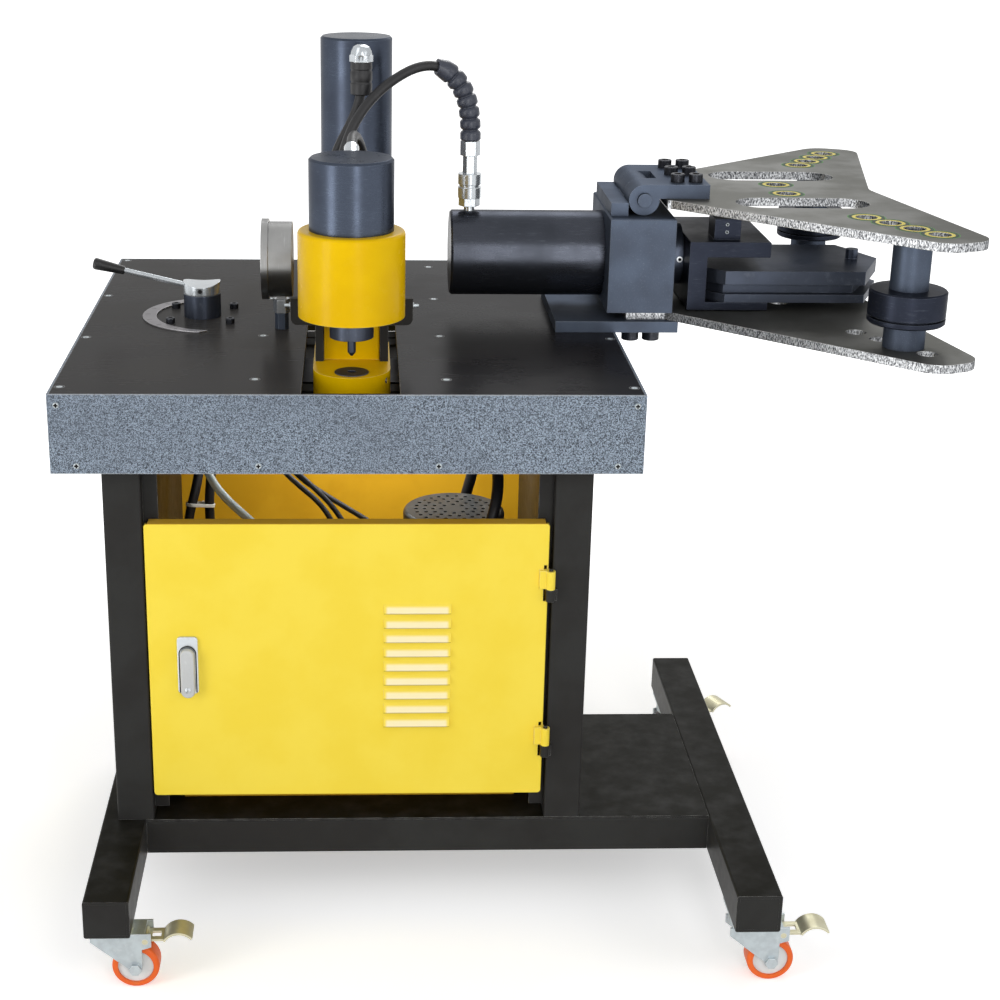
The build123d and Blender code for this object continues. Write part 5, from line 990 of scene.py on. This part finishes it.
PUNCH_X = 3.5
pin = [(4.4, 0), (4.4, 1.2), (2.2, 1.2), (2.2, 7), (1.6, 8)]
pins = [(pin, stand_at(PUNCH_X + side * 82, 165, 855, side * 90, "Y")) for side in (-1, 1)]
stacked("yoke_pins", pins, [zinc], "stand", "bright_steel")

PLATE_LOW = 96
nut = [(3, -3), (3, 0), (hexagon(10), 0), (hexagon(10), 2.8), (4.4, 3.3), (3, 3.3), (2.6, 3.7)]
nuts = [(nut, stand_at(x + dx, y + dy, PLATE_LOW, 180))
        for x in (-313, 536) for y in (-131, 507) for dx in (-21, 21) for dy in (-28, 28)]
stacked("caster_nuts", nuts, [zinc], "stand", "bright_steel")

GROOVE_R, GROOVE_DOWN, TURN_STEPS = 11.2, -57, 16
turns = [pi - pi * step / TURN_STEPS for step in range(TURN_STEPS + 1)]
groove = [(GROOVE_R * cos(a), GROOVE_R * sin(a)) for a in turns]
groove = [(-GROOVE_R, GROOVE_DOWN), *groove, (GROOVE_R, GROOVE_DOWN)]
bm = bmesh.new()
ribbon(bm, groove, 1.6, stand_at(LOCK_X, 23.9, 408.5, 90), 0.0, 0.12)
add_piece("lock_groove", bm, [painted_hole_shade], "door")
key_place = stand_at(LOCK_X, 13.9, 359, 90)
plug = [(4.2, -0.3), (4.2, 0.4), (3.5, 0.8)]
stacked("lock_key_plug", [(plug, key_place)], [chrome], "lock", "bright_steel")
bm = bmesh.new()
ribbon(bm, [(0, -2), (0, 2)], 0.9, key_place, 0.8, 0.9)
add_piece("lock_key_slit", bm, [painted_hole_shade], "lock")

# %% [markdown]
# A white nylon tie gathers the suction and the return line. Its band is a long oval, so its ring shape is a
# stadium: two half circles and the straights between them. It is turned so that its long side runs from one
# line to the other, square to both.

# %% Cable tie
def stadium(half, r):
    """Ring shape of two half circles of radius r, whose centres are half a length to either side."""
    def reach(a):
        over = abs(sin(a)) * half
        if abs(cos(a)) * r < abs(sin(a)) * half:
            return r / abs(sin(a))
        return half * abs(cos(a)) + (r * r - over * over) ** 0.5
    return reach


def nearest(route, height):
    """The point of a route's line at a height, in metres, and the direction there."""
    points = line_of(route)
    index = min(range(1, len(points) - 1), key=lambda i: abs(points[i].z - height))
    return points[index], (points[index + 1] - points[index - 1]).normalized()


TIE_HEIGHT = 0.522
TIE_INNER, TIE_OUTER, TIE_HALF = 7.2, 8.6, 2.4
first, first_way = nearest(cabinet_routes["suction_line"][2], TIE_HEIGHT)
second, second_way = nearest(cabinet_routes["return_line"][2], TIE_HEIGHT)
along = (first_way + second_way).normalized()
gap = second - first
across = (gap - along * gap.dot(along)).normalized()
tie_place = Matrix((across, along.cross(across), along)).transposed().to_4x4()
tie_place.translation = (first + second) / 2
half = gap.dot(across) * 500
bm = bmesh.new()
inner, outer = stadium(half, TIE_INNER), stadium(half, TIE_OUTER)
band = [(inner, -TIE_HALF), (inner, TIE_HALF), (outer, TIE_HALF), (outer, -TIE_HALF)]
ring_stack(bm, band, tie_place, steps=64, tube=True)
ribbon(bm, [(-4, -8.4), (4, -8.4)], 5.5, tie_place, -3.2, 3.2)
ribbon(bm, [(3, -9.5), (9, -13), (14, -19)], 1.2, tie_place, -2.2, 2.2)
add_piece("line_tie", bm, [tie_nylon], "stand")

# %% [markdown]
# A product picture stands on a white sweep. The floor is a pale plane that keeps the machine's shadow, and the
# world is white for the camera and for reflections, but dimmer as a light, so that the lamps can model the
# shapes. Soft lamps do that: a large one from the upper left, a tall one like a window that draws the long
# highlights on the upright cylinders, a tall one in front for the lying one, a fill from the right, one behind,
# and a small one for the cabinet's inside.

# %% Floor, lamps and world
FLOOR_HALF = 30.0
NEAR_GLOW, GLOW_FROM, GLOW_TO = 0.42, 0.7, 1.7
WORLD_LIGHT = 0.41
WHITE_RAYS = ("Is Camera Ray", "Is Glossy Ray", "Is Transmission Ray")


def white_rays(start):
    """A mask of the rays that see white: the camera's own, and those of reflections and of glass."""
    seen = [start.node("ShaderNodeLightPath", out=ray) for ray in WHITE_RAYS]
    return (seen[0] + seen[1] + seen[2]).held()


floor_mesh = bpy.data.meshes.new("floor")
corners = [(x * FLOOR_HALF, y * FLOOR_HALF, 0) for x, y in ((-1, -1), (1, -1), (1, 1), (-1, 1))]
floor_mesh.from_pydata(corners, [], [(0, 1, 2, 3)])
floor = new_object("floor", floor_mesh)
sweep, shader, place = new_finish("sweep")
mottle = grain(place, 3, 3)
reach = place.node("ShaderNodeVectorMath", {"operation": "LENGTH"}, {0: place}, "Value")
glow = NEAR_GLOW + (1 - NEAR_GLOW) * step_up(reach, GLOW_FROM, GLOW_TO)
dress(shader, Base_Color=mixed(mottle, (246, 246, 246), (250, 250, 250)), Roughness=0.9,
      Specular_IOR_Level=0.0, Emission_Strength=1.0,
      Emission_Color=mixed(white_rays(place) * glow, (0, 0, 0), (255, 255, 255)))
floor_mesh.materials.append(sweep)


def lamp(name, place, target, width, height, power):
    """A soft lamp that looks at a point of the machine."""
    light = bpy.data.lights.new(name, "AREA")
    light.shape = "RECTANGLE"
    light.size = width
    light.size_y = height
    light.energy = power
    holder = new_object(name, light)
    holder.location = place
    holder.rotation_euler = (Vector(target) - Vector(place)).to_track_quat("-Z", "Y").to_euler()


lamp("key", (-2.4, -2.2, 3.4), (-0.1, 0, 0.7), 1.8, 1.8, 15)
lamp("window", (-2.2, -1.6, 1.0), (-0.1, 0, 0.9), 0.8, 1.8, 19)
lamp("front", (0.4, -2.5, 1.4), (0.1, 0, 0.87), 0.5, 2.0, 18.5)
lamp("fill", (2.9, -2.4, 2.2), (0.1, 0, 0.7), 1.6, 1.6, 18)
lamp("behind", (0.6, 2.8, 3.0), (0, 0, 0.8), 1.6, 1.6, 36)
lamp("cabinet", spot(40, 320, 650), spot(40, 430, 450), 0.4, 0.05, 1.4)

world = bpy.data.worlds.new("white_room")
bpy.context.scene.world = world
world.use_nodes = True
tree = world.node_tree
background = tree.nodes["Background"]
background.inputs["Color"].default_value = (1, 1, 1, 1)
white = white_rays(Wire(tree, background.outputs[0]))
strength = WORLD_LIGHT + (1 - WORLD_LIGHT) * white
tree.links.new(strength.socket, background.inputs["Strength"])
bpy.context.scene.view_settings.view_transform = "Standard"
print("stage is lit by", len(bpy.data.lights), "lamps")
